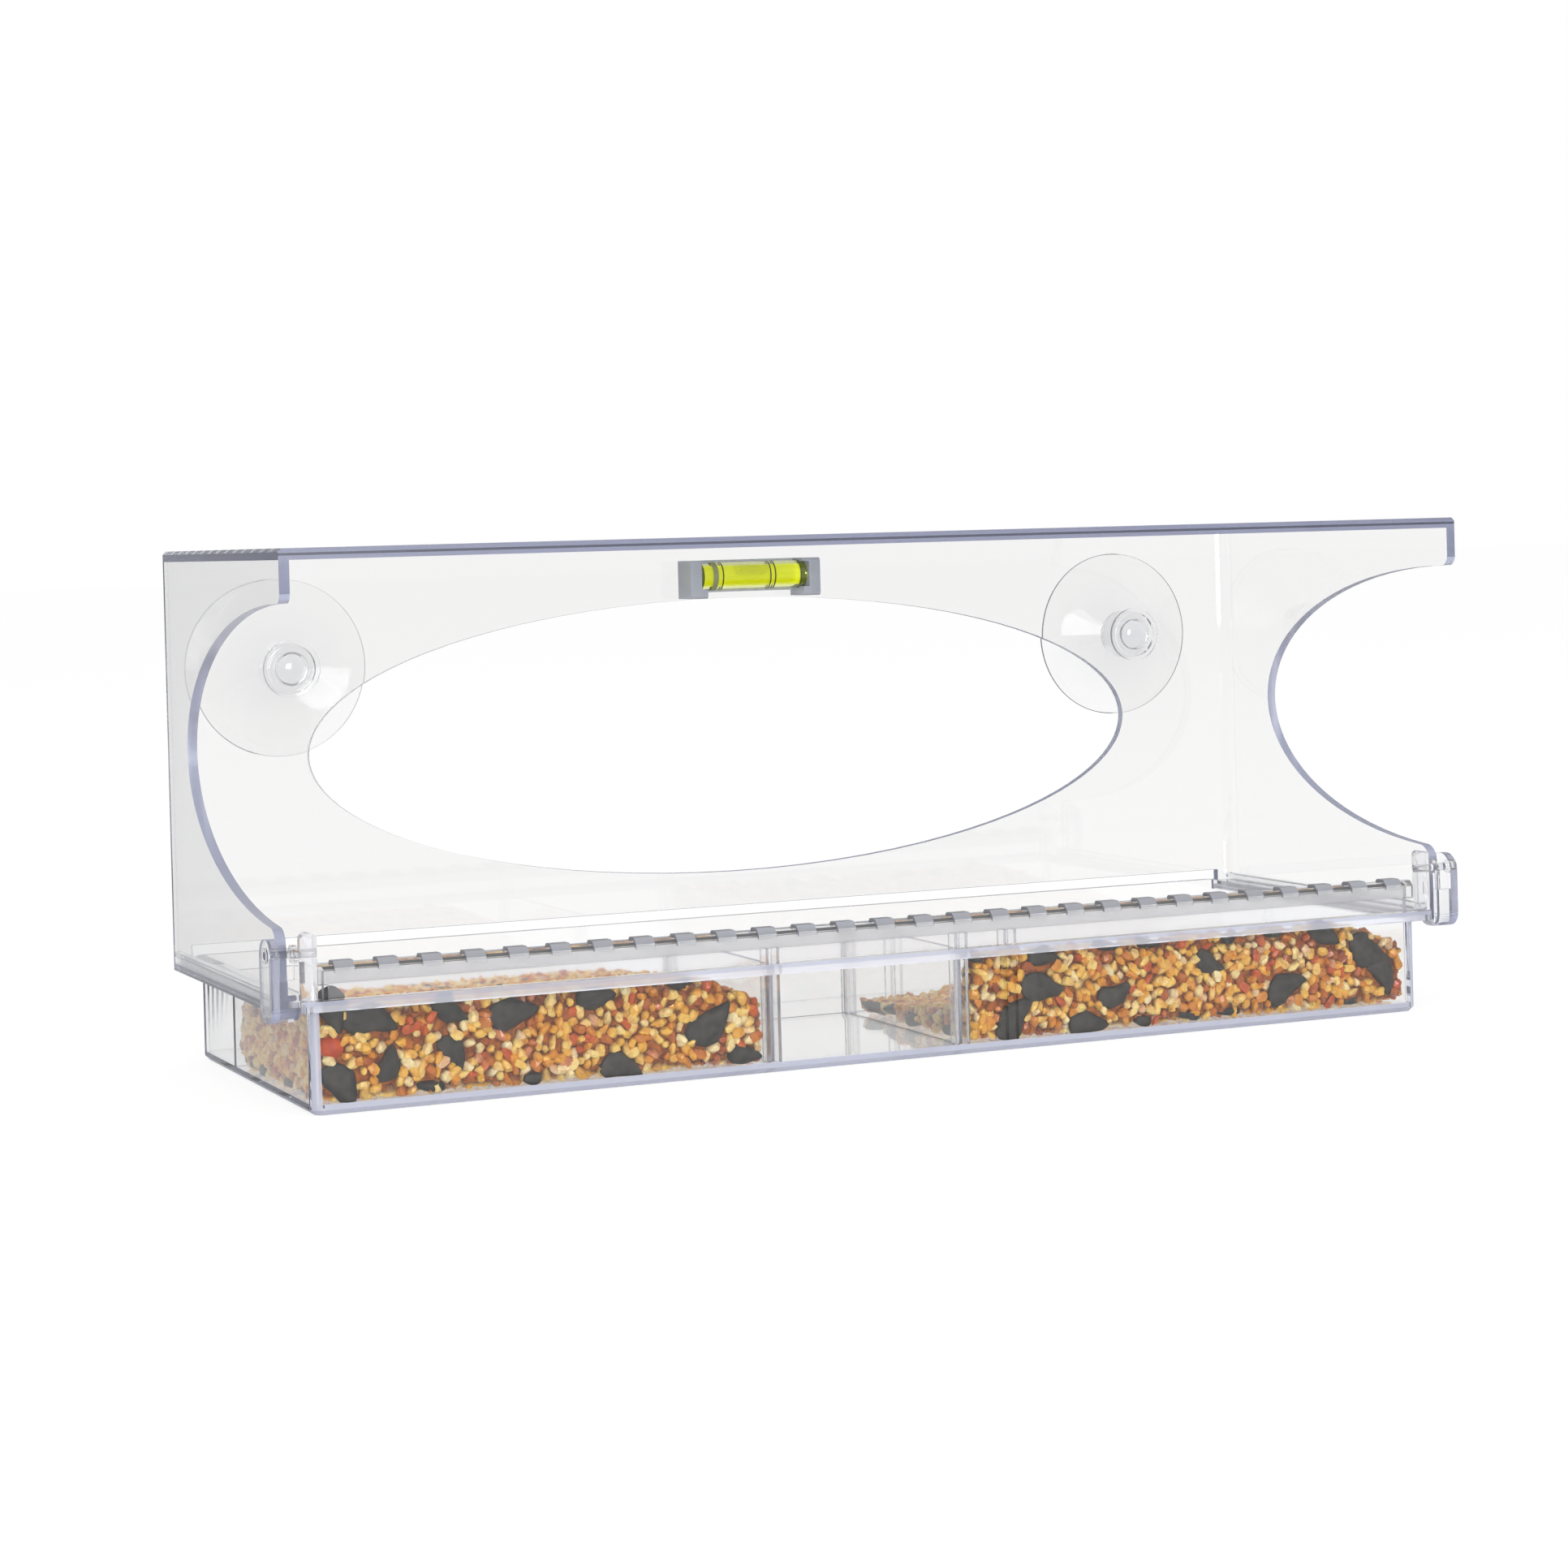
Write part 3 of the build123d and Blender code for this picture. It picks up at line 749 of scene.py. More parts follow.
@dataclass
class SpiritLevel:
    """The small level stuck to the back panel above the oval window."""

    middle_x: float = 3.5
    axis_y: float = 53.9
    axis_z: float = 143.75
    vial_radius: float = 4.6
    vial_wall: float = 1.1
    vial_length: float = 38.0
    vial_chamfer: float = 0.4
    floor: float = 1.6
    plug_length: float = 2.4
    liquid_gap: float = 0.02
    bubble_radius: float = 1.6
    bubble_length: float = 12.0
    bubble_gap: float = 0.3
    bubble_steps: int = 8
    bubble_segments: int = 32
    mark_places: tuple[float, ...] = (-11.3, 5.5, 7.2)
    mark_width: float = 0.45
    band_place: float = -14.6
    band_width: float = 1.9
    mark_gap: float = 0.005
    mark_rise: float = 0.03

    @property
    def centre(self) -> Point:
        """The middle of the vial's axis."""
        return (self.middle_x, self.axis_y, self.axis_z)

    def vial(self) -> None:
        """Make the clear tube with its closed left end."""
        half, bore, chamfer = self.vial_length / 2, self.vial_radius - self.vial_wall, self.vial_chamfer
        outline = [(-half, 0.0), (-half, self.vial_radius - chamfer), (-half + chamfer, self.vial_radius),
                   (half - chamfer, self.vial_radius), (half, self.vial_radius - chamfer), (half, bore),
                   (-half + self.floor, bore), (-half + self.floor, 0.0)]
        TurnedPiece("level_vial_tube", outline, self.centre, Turn.ALONG_X, VIAL, "housing",
                    "level_vial", ("level_vial",)).build()

    def liquid(self) -> None:
        """Make the liquid between the tube's closed end and the plug."""
        radius = self.vial_radius - self.vial_wall - self.liquid_gap
        low = -self.vial_length / 2 + self.floor + self.liquid_gap
        high = self.vial_length / 2 - self.plug_length - self.liquid_gap
        outline = [(low, 0.0), (low, radius), (high, radius), (high, 0.0)]
        TurnedPiece("level_liquid_column", outline, self.centre, Turn.ALONG_X, LEVEL_LIQUID, "housing",
                    "level_liquid", ("level_liquid",)).build()

    def bubble(self) -> None:
        """Make the round-ended bubble just under the top of the liquid."""
        radius, steps = self.bubble_radius, self.bubble_steps
        half = self.bubble_length / 2 - radius
        outline = arc((-half, 0.0), radius, 180, 90, steps) + arc((half, 0.0), radius, 90, 0, steps)
        outline[0] = (-self.bubble_length / 2, 0.0)
        outline[-1] = (self.bubble_length / 2, 0.0)
        rise = self.vial_radius - self.vial_wall - self.bubble_gap - radius
        centre = (self.middle_x, self.axis_y, self.axis_z + rise)
        TurnedPiece("level_bubble_round", outline, centre, Turn.ALONG_X, LEVEL_BUBBLE, "bubble",
                    "level_bubble", ("level_bubble",), self.bubble_segments).build()

    def marks(self) -> None:
        """Make the thin dark rings round the vial, and the paler band near its left end."""
        low, high = self.vial_radius + self.mark_gap, self.vial_radius + self.mark_rise
        rings = [("level_mark_" + str(number), place, self.mark_width, LEVEL_MARK)
                 for number, place in enumerate(self.mark_places, 1)]
        rings.append(("level_band", self.band_place, self.band_width, LEVEL_BAND))
        for name, place, width, finish in rings:
            end = place + width
            outline = [(place, low), (place, high), (end, high), (end, low), (place, low)]
            TurnedPiece(name, outline, self.centre, Turn.ALONG_X, finish, "housing", "level_vial").build()

    def build(self) -> None:
        """Make the whole level."""
        self.vial()
        self.liquid()
        self.bubble()
        self.marks()
        MouldedPiece("level_bracket", LEVEL_BRACKET, "housing", "level_bracket").build()


# The seed in the tray


class StrewTree(NodeMaker):
    """The Geometry Nodes tree that strews seeds over a heap and packs them against clear walls."""

    NAME = "strewn_seed"
    INPUTS = {
        "Spacing": "Float", "Smallest": "Vector", "Largest": "Vector", "Corners": "Int", "Taper": "Float",
        "Tilt": "Float", "Roughness": "Float", "Low Corner": "Vector", "High Corner": "Vector",
        "Kept Clear Of": "Object", "Clearance": "Float", "Seed": "Int", "Finish": "Material"}
    MOST_TO_AN_AREA = 900000.0
    BUMP_SCALE = 700.0
    BUMP_DETAIL = 1.0

    def __init__(self) -> None:
        """Build the tree."""
        super().__init__(bpy.data.node_groups.new(self.NAME, "GeometryNodeTree"))
        face = self.tree.interface
        for way in ("INPUT", "OUTPUT"):
            face.new_socket("Geometry", in_out=way, socket_type="NodeSocketGeometry")
        self.sockets = {
            name: face.new_socket(name, in_out="INPUT", socket_type="NodeSocket" + kind).identifier
            for name, kind in self.INPUTS.items()}
        self.given = given = self.tree.nodes.new("NodeGroupInput").outputs
        spread = self.node("GeometryNodeDistributePointsOnFaces", {
            "Mesh": given["Geometry"], "Distance Min": given["Spacing"], "Density Max": self.MOST_TO_AN_AREA,
            "Seed": given["Seed"]}, distribute_method="POISSON")
        placed = self.node("GeometryNodeObjectInfo", {"Object": given["Kept Clear Of"]})
        too_near = self.node("FunctionNodeCompare", {
            0: self.distance(placed.outputs["Geometry"]), 1: given["Clearance"]}, data_type="FLOAT",
            operation="LESS_THAN")
        free = self.node("GeometryNodeDeleteGeometry", {
            "Geometry": spread, "Selection": too_near}, domain="POINT")
        cube = self.node("GeometryNodeMeshCube", {"Size": (2.0, 2.0, 2.0)})
        self.feed(cube, {"Vertices " + way: given["Corners"] for way in "XYZ"})
        place = self.node("GeometryNodeInstanceOnPoints", {
            "Points": free, "Instance": self.tapered(cube),
            "Rotation": self.turned(spread.outputs["Rotation"]),
            "Scale": self.any_between(given["Smallest"], given["Largest"])})
        tone = self.node("FunctionNodeRandomValue", {"Seed": given["Seed"]}, data_type="FLOAT")
        toned = self.stored("grain_tone", "INSTANCE", place, tone.outputs[1])
        packed = self.packed(self.node("GeometryNodeRealizeInstances", {"Geometry": toned}))
        # The height over the core, which sets the painted shade deep in the gaps between the chips.
        risen = self.stored("grain_rise", "POINT", packed, self.distance(given["Geometry"]))
        painted = self.node("GeometryNodeSetMaterial", {"Geometry": risen, "Material": given["Finish"]})
        self.node("NodeGroupOutput", {"Geometry": painted})

    def distance(self, target: NodeSocket) -> NodeSocket:
        """How far a point is from the surface of a geometry."""
        return self.node("GeometryNodeProximity", {0: target}, target_element="FACES").outputs["Distance"]

    def any_between(self, least: object, most: object) -> Node:
        """Draw a random vector between two others."""
        return self.node("FunctionNodeRandomValue", {0: least, 1: most, "Seed": self.given["Seed"]},
                         data_type="FLOAT_VECTOR")

    def stored(self, name: str, domain: str, seeds: Node, number: NodeSocket) -> Node:
        """Keep a number on the seeds, or on each vertex of them, under an attribute's name."""
        return self.node("GeometryNodeStoreNamedAttribute", {
            "Geometry": seeds, "Name": name, "Value": number}, data_type="FLOAT", domain=domain)

    def tapered(self, cube: Node) -> Node:
        """Round a cube into a unit ball, and narrow it towards one end.

        Args:
            cube: the cube, with a few vertices along each edge.

        Returns:
            The narrowed ball.
        """
        ball = self.vector("NORMALIZE", self.node("GeometryNodeInputPosition"))
        along = self.node("ShaderNodeSeparateXYZ", {0: ball}).outputs["X"]
        width = self.maths("SUBTRACT", 1.0, self.maths("MULTIPLY", along, self.given["Taper"]))
        shares = self.node("ShaderNodeCombineXYZ", {"X": 1.0, "Y": width, "Z": width})
        return self.node("GeometryNodeSetPosition", {
            "Geometry": cube, "Position": self.vector("MULTIPLY", ball, shares)})

    def turned(self, flat: NodeSocket) -> Node:
        """Spin each seed on the surface and tilt it off the surface.

        Args:
            flat: the rotation that lays a seed flat.

        Returns:
            The rotation to use.
        """
        tilt = self.given["Tilt"]
        back = self.maths("MULTIPLY", tilt, -1.0)
        least = self.node("ShaderNodeCombineXYZ", {"X": back, "Y": back})
        most = self.node("ShaderNodeCombineXYZ", {"X": tilt, "Y": tilt, "Z": 2 * math.pi})
        euler = self.node("FunctionNodeEulerToRotation", {0: self.any_between(least, most)})
        return self.node("FunctionNodeRotateRotation", {0: flat, 1: euler}, rotation_space="LOCAL")

    def packed(self, seeds: Node) -> Node:
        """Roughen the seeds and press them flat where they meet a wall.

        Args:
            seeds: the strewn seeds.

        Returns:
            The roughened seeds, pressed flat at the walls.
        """
        where = self.node("GeometryNodeInputPosition")
        bumps = self.node("ShaderNodeTexNoise", {
            "Vector": where, "Scale": self.BUMP_SCALE, "Detail": self.BUMP_DETAIL})
        centred = self.vector("SUBTRACT", bumps.outputs["Color"], (0.5, 0.5, 0.5))
        shift = self.vector("SCALE", centred)
        self.feed(shift, {"Scale": self.given["Roughness"]})
        moved = self.node("GeometryNodeSetPosition", {"Geometry": seeds, "Offset": shift})
        above = self.vector("MAXIMUM", where, self.given["Low Corner"])
        below = self.vector("MINIMUM", above, self.given["High Corner"])
        return self.node("GeometryNodeSetPosition", {"Geometry": moved, "Position": below})

    def strew(self, core: Object, values: dict[str, object]) -> Mesh:
        """Strew one sort of seed over a heap's core.

        Args:
            core: the mass that the seeds lie on.
            values: the tree's inputs by name.

        Returns:
            The seeds as a plain mesh.
        """
        modifier = core.modifiers.new(self.NAME, "NODES")
        modifier.node_group = self.tree
        for key, setting in values.items():
            modifier[self.sockets[key]] = setting
        core.update_tag()
        graph = bpy.context.evaluated_depsgraph_get()
        graph.update()
        made = bpy.data.meshes.new_from_object(core.evaluated_get(graph), preserve_all_data_layers=True,
                                               depsgraph=graph)
        core.modifiers.remove(modifier)
        return made


@dataclass(frozen=True)
class SeedSort:
    """One sort of seed, as the strewing tree takes it, in millimetres."""

    spacing: float
    smallest: Point
    largest: Point
    corners: int
    taper: float
    tilt_degrees: float
    roughness: float
    clearance: float


CHIPS = SeedSort(1.95, (1.8, 1.4, 1.15), (3.1, 2.4, 1.8), 3, 0.25, 90.0, 1.3, 0.7)
SUNFLOWER = SeedSort(14.0, (4.6, 2.2, 1.5), (5.8, 2.9, 1.9), 4, 0.45, 14.0, 0.8, 9.0)


@dataclass
class FruitPiece:
    """One piece of dried fruit among the seeds, as a slightly flattened ball."""

    name: str
    centre: Point
    half: Point
    tilt_degrees: float
    finish: Finish

    def mesh(self, share: float = 1.0) -> Mesh:
        """Make the flattened ball.

        Args:
            share: its size as a share of the real one.

        Returns:
            The mesh, in its place.
        """
        mesh = bpy.data.meshes.new(self.name)
        turn = Matrix.Rotation(math.radians(self.tilt_degrees), 4, "Y")
        with editing(mesh) as work:
            bmesh.ops.create_icosphere(work, subdivisions=3, radius=share)
            for corner in work.verts:
                local = Vector(c * h for c, h in zip(corner.co, self.half))
                corner.co = (turn @ local + Vector(self.centre)) * MM
        return mesh

    def build(self) -> None:
        """Dress the piece and let it ride on the tray."""
        mesh = self.mesh()
        shade_by_angle(mesh, SEED_SMOOTH_DEGREES)
        mesh.materials.append(self.finish.material())
        piece = new_object(self.name, mesh)
        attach(piece, "tray")
        report(piece)


@dataclass
class SeedBay:
    """One heap of mixed seed between the tray's clear walls."""

    side: Side
    low_x: float
    high_x: float
    height: Callable[[float, float], float]
    front_kernels: Sequence[tuple[float, float, float]]
    seed: int
    fruit: Sequence[FruitPiece] = ()
    fruit_shells: tuple[float, ...] = (1.0, 0.65, 0.3, 0.1)
    front_y: float = -59.7
    back_y: float = 22.0
    floor_z: float = 2.6
    top_z: float = 60.0
    wall_gap: float = 0.12
    core_inset: float = 2.3
    core_least: float = 0.5
    cell: float = 2.0
    kernel_half: Point = (6.9, 3.5, 1.35)
    kernel_least: float = 0.82
    kernel_growth: float = 0.1
    kernel_taper: float = 0.5
    kernel_bend: float = 0.45
    kernel_bend_level: float = 0.3
    kernel_unevenness: float = 0.28
    kernel_wave: float = 1.7

    def core(self) -> Object:
        """Make the mass that the seeds lie on, a closed block with a sloping top."""
        x0, x1 = self.low_x + self.core_inset, self.high_x - self.core_inset
        y0, y1 = self.front_y + self.core_inset, self.back_y - self.core_inset
        z0 = self.floor_z + self.core_inset
        columns, rows = int((x1 - x0) / self.cell), int((y1 - y0) / self.cell)
        points: list[Point] = []
        for level in (0, 1):
            for j in range(rows + 1):
                for i in range(columns + 1):
                    x = x0 + (x1 - x0) * i / columns
                    y = y0 + (y1 - y0) * j / rows
                    z = max(z0 + self.core_least, self.height(x, y) - self.core_inset) if level else z0
                    points.append((x * MM, y * MM, z * MM))
        width = columns + 1
        count = width * (rows + 1)
        faces: list[list[int]] = []
        for j in range(rows):
            for i in range(columns):
                a = j * width + i
                square = [a, a + 1, a + width + 1, a + width]
                faces.append([v + count for v in square])
                faces.append(square[::-1])
        ring = list(range(width))
        ring += [(j + 1) * width - 1 for j in range(1, rows + 1)]
        ring += [rows * width + i for i in range(columns - 1, -1, -1)]
        ring += [j * width for j in range(rows - 1, 0, -1)]
        faces += [[a, b, b + count, a + count] for a, b in zip(ring, ring[1:] + ring[:1])]
        name = "core_" + self.side.word
        return new_object(name, mesh_from(name, points, faces))

    def kernels_at_glass(self) -> Object:
        """Lay the sunflower seeds that show through the front wall."""
        mesh = bpy.data.meshes.new("kernels_at_glass_" + self.side.word)
        half_depth, gap = self.kernel_half[2], self.wall_gap
        with editing(mesh) as work:
            for number, (x, z, degrees) in enumerate(self.front_kernels):
                size = self.kernel_least + self.kernel_growth * (3 * number % 5)
                half_length, half_width = (h * size for h in self.kernel_half[:2])
                bend = self.kernel_bend * (number % 3 - 1)
                ball = bmesh.ops.create_icosphere(work, subdivisions=3, radius=1.0)
                turn = Matrix.Rotation(math.radians(degrees), 4, "Y")
                place = Vector((x, self.front_y + gap + half_depth, z))
                for corner in ball["verts"]:
                    along, across, up = corner.co
                    wave = noise.noise(corner.co * self.kernel_wave + Vector((number, 0.0, 0.0)))
                    width = (1.0 - self.kernel_taper * along) * (1.0 + self.kernel_unevenness * wave)
                    rise = up * width + bend * (along * along - self.kernel_bend_level)
                    local = Vector((along * half_length, across * half_depth, rise * half_width))
                    point = turn @ local + place
                    point.z = max(point.z, self.floor_z + gap)
                    point.x = min(max(point.x, self.low_x + gap), self.high_x - gap)
                    corner.co = point * MM
            bmesh.ops.recalc_face_normals(work, faces=work.faces)
        return new_object(mesh.name, mesh)

    def values(self, sort: SeedSort, others: Object, finish: Material) -> dict[str, object]:
        """The strewing tree's inputs for one sort of seed.

        Args:
            sort: the sort of seed.
            others: the seeds already laid, which these keep clear of.
            finish: the seeds' material.

        Returns:
            The inputs by name.
        """
        gap = self.wall_gap
        return {
            "Spacing": sort.spacing * MM,
            "Smallest": Vector(sort.smallest) * MM,
            "Largest": Vector(sort.largest) * MM,
            "Corners": sort.corners,
            "Taper": sort.taper,
            "Tilt": math.radians(sort.tilt_degrees),
            "Roughness": sort.roughness * MM,
            "Low Corner": Vector((self.low_x + gap, self.front_y + gap, self.floor_z + gap)) * MM,
            "High Corner": Vector((self.high_x - gap, self.back_y - gap, self.top_z)) * MM,
            "Kept Clear Of": others,
            "Clearance": sort.clearance * MM,
            "Seed": self.seed,
            "Finish": finish,
        }

    def build(self, tree: StrewTree, grain: Material, shade: Material,
              hull: Material) -> None:
        """Strew the seeds, keep plain meshes and let the heap ride on the tray.

        Args:
            tree: the tree that strews seeds.
            grain: the chips' material.
            shade: the material of the mass under them, which stands for deeper grain and is darker as
                painted shade between the chips.
            hull: the sunflower seeds' material.
        """
        core = self.core()
        glass = self.kernels_at_glass()
        strewn = tree.strew(core, self.values(SUNFLOWER, glass, hull))
        kernels = joined("sunflower_seeds_" + self.side.word, (strewn, glass.data), (hull, hull))
        large = [kernels.data]
        for piece in self.fruit:
            piece.build()
            large.extend(piece.mesh(share) for share in self.fruit_shells)
        clear_of = joined("kept_clear_" + self.side.word, large, [hull] * len(large))
        chips = tree.strew(core, self.values(CHIPS, clear_of, grain))
        heap = joined("seed_heap_" + self.side.word, (chips, core.data), (grain, shade))
        for spare in (core, glass, clear_of):
            bpy.data.objects.remove(spare)
        shade_by_angle(kernels.data, SEED_SMOOTH_DEGREES)
        for piece in (kernels, heap):
            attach(piece, "tray")
            report(piece)


# The sunflower seeds at the glass, each as its X, its Z and its tilt in degrees.
LEFT_KERNELS = (
    (-139.0, 14.0, 55.0), (-121.0, 23.5, -8.0), (-140.0, 26.0, 40.0), (-163.0, 25.0, 12.0),
    (-173.5, 28.5, 75.0), (-158.0, 12.5, -70.0), (-171.5, 7.0, 62.0), (-96.0, 26.0, -4.0),
    (-61.0, 15.5, -35.0), (-88.5, 5.0, 20.0), (-50.5, 5.5, 10.0))
RIGHT_KERNELS = (
    (48.5, 27.0, 5.0), (48.0, 17.5, 10.0), (73.0, 13.5, -20.0), (38.0, 9.0, -50.0), (63.5, 5.0, 4.0),
    (106.5, 20.5, 32.0), (134.0, 11.0, -24.0), (148.5, 26.5, 30.0), (165.0, 19.5, 30.0),
    (170.0, 12.0, 65.0))


def left_height(x: float, y: float) -> float:
    """The left heap's height: level along the glass, falling near the left divider."""
    crest, drop, fall_bend = 29.5, 8.5, 1.3
    fall_from, fall_length = -66.0, 22.0
    slope, slope_from, slope_growth = 0.08, -50.0, 1.2
    fall = max(0.0, (x - fall_from) / fall_length)
    return crest - drop * fall ** fall_bend - slope * max(0.0, y - slope_from) * (1 + slope_growth * fall)


def right_height(x: float, y: float) -> float:
    """The right heap's height: banked against the front wall, low behind, falling at the far right."""
    crest, drop, fall_bend = 30.5, 9.5, 1.3
    fall_from, fall_length = 152.0, 26.0
    low, low_rise, rise_from, rise_length = 13.5, 9.0, 40.0, 50.0
    slope, slope_from = 0.1, -51.0
    bank_from, bank_length = -55.0, 7.0
    front = crest - drop * max(0.0, (x - fall_from) / fall_length) ** fall_bend
    behind = low + low_rise * share_of((x - rise_from) / rise_length) - slope * max(0.0, y - slope_from)
    return front + (behind - front) * share_of((y - bank_from) / bank_length)


# The studio


@dataclass
class Lamp:
    """A square soft lamp that points at the feeder."""

    name: str
    place: Point
    size: float
    power: float
    aim: Point = (0.0, 0.0, 0.07)

    def build(self) -> None:
        """Hang the lamp."""
        data = bpy.data.lights.new(self.name, "AREA")
        data.size = self.size
        data.energy = self.power
        lamp = new_object(self.name, data)
        lamp.location = self.place
        lamp.rotation_mode = "QUATERNION"
        lamp.rotation_quaternion = (Vector(self.aim) - Vector(self.place)).to_track_quat("-Z", "Y")


@dataclass
class Studio:
    """The pale floor, the white surroundings, the lamps and the camera."""

    floor_size: float = 30.0
    floor_drop: float = 0.0002
    floor_white: float = 0.9
    floor_light: float = 0.74
    shadow_share: float = 0.25
    world_level: float = 0.7
    ceiling_level: float = 0.7
    ceiling_range: Pair = (0.3, 0.85)
    mirrored_tone: Colour = (0.5, 0.51, 0.535)
    light_bounces: int = 48
    camera_place: Point = (-0.4325, -0.9648, 0.1558)
    camera_range: Pair = (0.05, 100.0)
    yaw: float = -23.76
    pitch: float = -0.52
    roll: float = 1.53
    focal_pixels: float = 4164.0
    centre_pixel: Pair = (966.0, 700.0)
    sensor: float = 36.0
    lamps: tuple[Lamp, ...] = (
        Lamp("soft_key", (-1.3, -1.2, 1.9), 1.6, 12.0),
        Lamp("soft_fill", (1.6, -0.9, 1.2), 1.4, 4.0),
        Lamp("low_front", (-0.15, -2.3, 0.42), 0.75, 30.0, (0.0, -0.06, 0.02)),
    )

    def shown(self, maker: NodeMaker, lit: Node, seen: Node,
              mirrored: Node) -> Node:
        """Give each kind of ray a shader of its own.

        Args:
            maker: the maker of the floor's or the world's nodes.
            lit: the shader for the rays that only light the scene.
            seen: the shader for camera and transmission rays.
            mirrored: the darker shader of a room, for mirror rays.

        Returns:
            The shader for them all.
        """
        ray = maker.node("ShaderNodeLightPath").outputs
        through = maker.maths("MAXIMUM", ray["Is Transmission Ray"], ray["Is Glossy Ray"])
        direct = maker.maths("MAXIMUM", through, ray["Is Camera Ray"])
        plain = maker.node("ShaderNodeMixShader", {"Fac": direct, 1: lit, 2: seen})
        bounced = maker.maths("MULTIPLY", ray["Is Glossy Ray"], ray["Is Reflection Ray"])
        return maker.node("ShaderNodeMixShader", {"Fac": bounced, 1: plain, 2: mirrored})

    def floor_material(self) -> Material:
        """Make the floor's white, which keeps a light shadow where it is looked at."""
        made = bpy.data.materials.new("pale_floor")
        made.use_nodes = True
        made.node_tree.nodes.clear()
        maker = NodeMaker(made.node_tree)
        lit, shadow = (maker.node("ShaderNodeBsdfDiffuse", {"Color": opaque((grey,) * 3)})
                       for grey in (self.floor_white, self.shadow_share))
        paper = maker.node("ShaderNodeEmission", {"Strength": 1.0 - self.shadow_share * self.floor_light})
        page = maker.node("ShaderNodeAddShader", {0: paper, 1: shadow})
        room = maker.node("ShaderNodeEmission", {"Color": opaque(self.mirrored_tone)})
        maker.node("ShaderNodeOutputMaterial", {"Surface": self.shown(maker, lit, page, room)})
        return made

    def floor(self) -> None:
        """Lay the pale floor."""
        half = self.floor_size / 2
        mesh = mesh_from("floor", [(-half, -half, 0), (half, -half, 0), (half, half, 0), (-half, half, 0)],
                         [(0, 1, 2, 3)])
        mesh.materials.append(self.floor_material())
        floor = new_object("floor", mesh)
        floor.location.z = -self.floor_drop

    def surroundings(self) -> None:
        """Light the scene from all round, and show plain white behind the feeder."""
        world = bpy.data.worlds.new("soft_box")
        bpy.context.scene.world = world
        world.use_nodes = True
        world.node_tree.nodes.clear()
        maker = NodeMaker(world.node_tree)
        direction = maker.node("ShaderNodeTexCoord").outputs["Generated"]
        height = maker.node("ShaderNodeMapRange", {
            "Value": maker.node("ShaderNodeSeparateXYZ", {0: direction}).outputs["Z"],
            "From Min": self.ceiling_range[0], "From Max": self.ceiling_range[1],
            "To Min": 1.0, "To Max": self.ceiling_level}, interpolation_type="SMOOTHSTEP")
        lit, seen = (maker.node("ShaderNodeBackground", {"Color": opaque(WHITE), "Strength": strength})
                     for strength in (self.world_level, height))
        room = maker.node("ShaderNodeBackground", {"Color": opaque(self.mirrored_tone)})
        maker.node("ShaderNodeOutputWorld", {"Surface": self.shown(maker, lit, seen, room)})

    def camera(self) -> None:
        """Stand the camera where the photograph was taken from."""
        data = bpy.data.cameras.new("photo_camera")
        data.sensor_width = self.sensor
        data.lens = self.focal_pixels / PHOTO_PIXELS * self.sensor
        middle = PHOTO_PIXELS / 2
        data.shift_x = (middle - self.centre_pixel[0]) / PHOTO_PIXELS
        data.shift_y = (self.centre_pixel[1] - middle) / PHOTO_PIXELS
        data.clip_start, data.clip_end = self.camera_range
        camera = bpy.context.scene.camera = new_object("photo_camera", data)
        yaw, pitch, roll = (math.radians(a) for a in (self.yaw, self.pitch, self.roll))
        right = Vector((math.cos(yaw), math.sin(yaw), 0.0))
        level = Vector((-math.sin(yaw), math.cos(yaw), 0.0))
        ahead = level * math.cos(pitch) + Vector((0, 0, math.sin(pitch)))
        up = Vector((0, 0, math.cos(pitch))) - level * math.sin(pitch)
        image_right = right * math.cos(roll) - up * math.sin(roll)
        image_up = right * math.sin(roll) + up * math.cos(roll)
        turn = Matrix((image_right, image_up, -ahead)).transposed().to_4x4()
        camera.matrix_world = Matrix.Translation(self.camera_place) @ turn

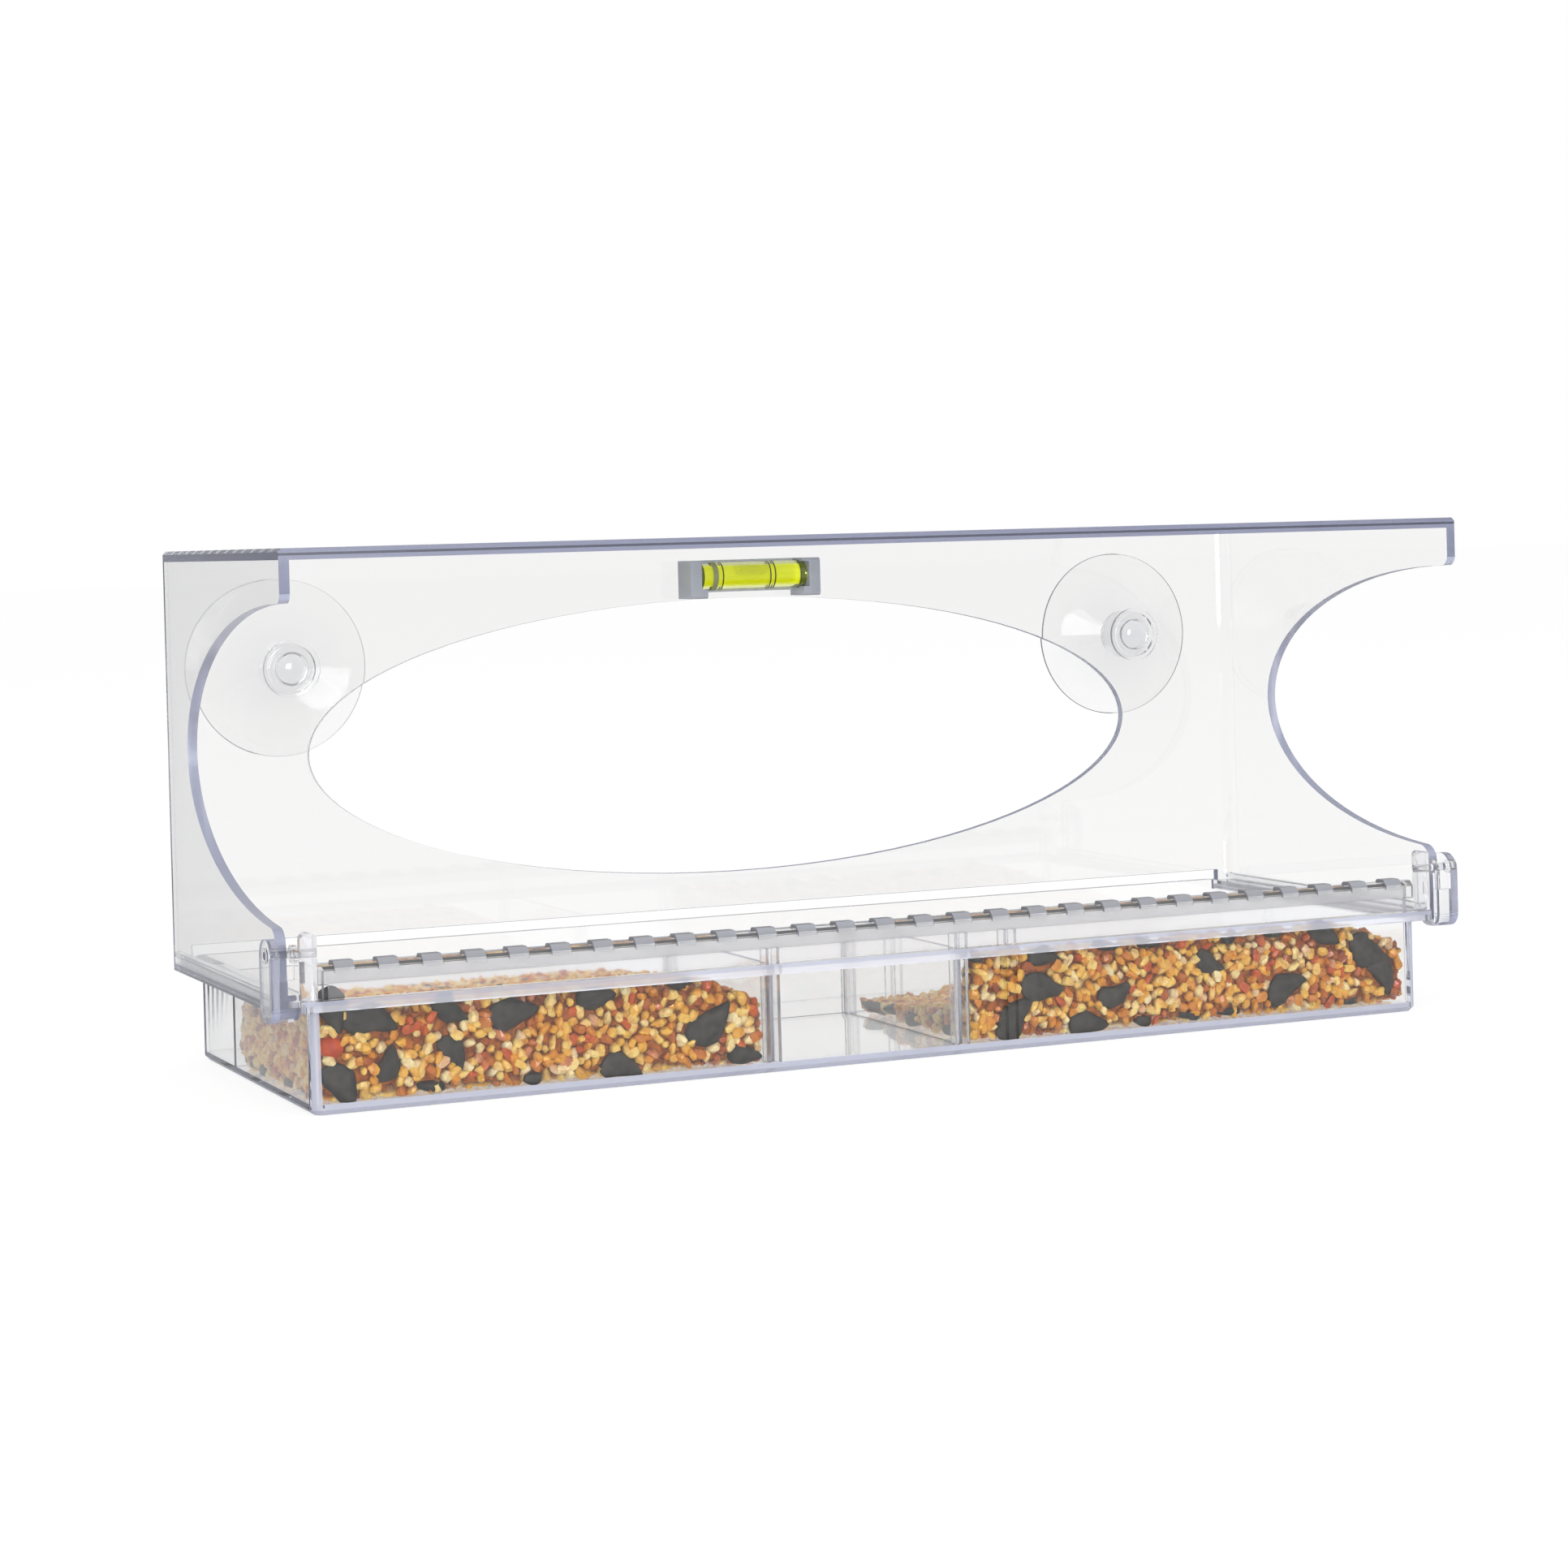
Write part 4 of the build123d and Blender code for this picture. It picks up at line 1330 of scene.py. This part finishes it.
    def build(self) -> None:
        """Set the whole studio up."""
        bpy.context.scene.view_settings.view_transform = "Standard"
        cycles = bpy.context.scene.cycles
        cycles.max_bounces = self.light_bounces
        cycles.glossy_bounces = self.light_bounces
        cycles.transmission_bounces = self.light_bounces
        self.floor()
        self.surroundings()
        for lamp in self.lamps:
            lamp.build()
        self.camera()


def main() -> None:
    """Dress the feeder and set the studio up."""
    logging.basicConfig(level=logging.INFO)
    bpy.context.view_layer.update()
    Studio().build()
    for node, finish, body in (
            ("perch_rail", CLEAR_RAIL, "tray"), ("divider_left", CLEAR_DIVIDER, "divider_left"),
            ("divider_right", CLEAR_DIVIDER, "divider_right"),
            ("corner_latch_left", CLEAR_LATCH, "latch_left"),
            ("corner_latch_right", CLEAR_LATCH, "latch_right"),
            ("latch_pin_left", LATCH_PIN, "tray"), ("latch_pin_right", LATCH_PIN, "tray"),
            ("level_plug", VIAL, "housing")):
        slot = next(s["material_slot"] for s in frame["record"]["subparts"] if s["node"] == node)
        MouldedPiece(node, finish, body, slot).build()
    MouldedPiece("housing", CLEAR_HOUSING, "housing", "clear_housing", strips=(ROOF_LINE,)).build()
    MouldedPiece("seed_tray", CLEAR_TRAY, "tray", "clear_tray",
                 strips=(FROSTED_BAND, FASCIA_LINE, BOTTOM_EDGE, FLOOR_EDGE, CORNER_POSTS)).build()
    for side in Side:
        SuctionCup(side).build()
    SpiritLevel().build()
    tree = StrewTree()
    grain, shade, hull = GRAIN.material(), GRAIN_SHADE.material(), KERNEL.material()
    fruit = (FruitPiece("berry", (-173.8, -55.9, 18.0), (3.7, 3.5, 3.5), 20.0, BERRY),
             FruitPiece("fruit_chip", (-172.8, -56.5, 31.8), (3.3, 2.4, 1.9), -28.0, FRUIT_CHIP))
    SeedBay(Side.LEFT, -178.2, -43.9, left_height, LEFT_KERNELS, 3, fruit).build(tree, grain, shade, hull)
    SeedBay(Side.RIGHT, 22.4, 178.2, right_height, RIGHT_KERNELS, 11).build(tree, grain, shade, hull)


if __name__ == "__main__":
    main()
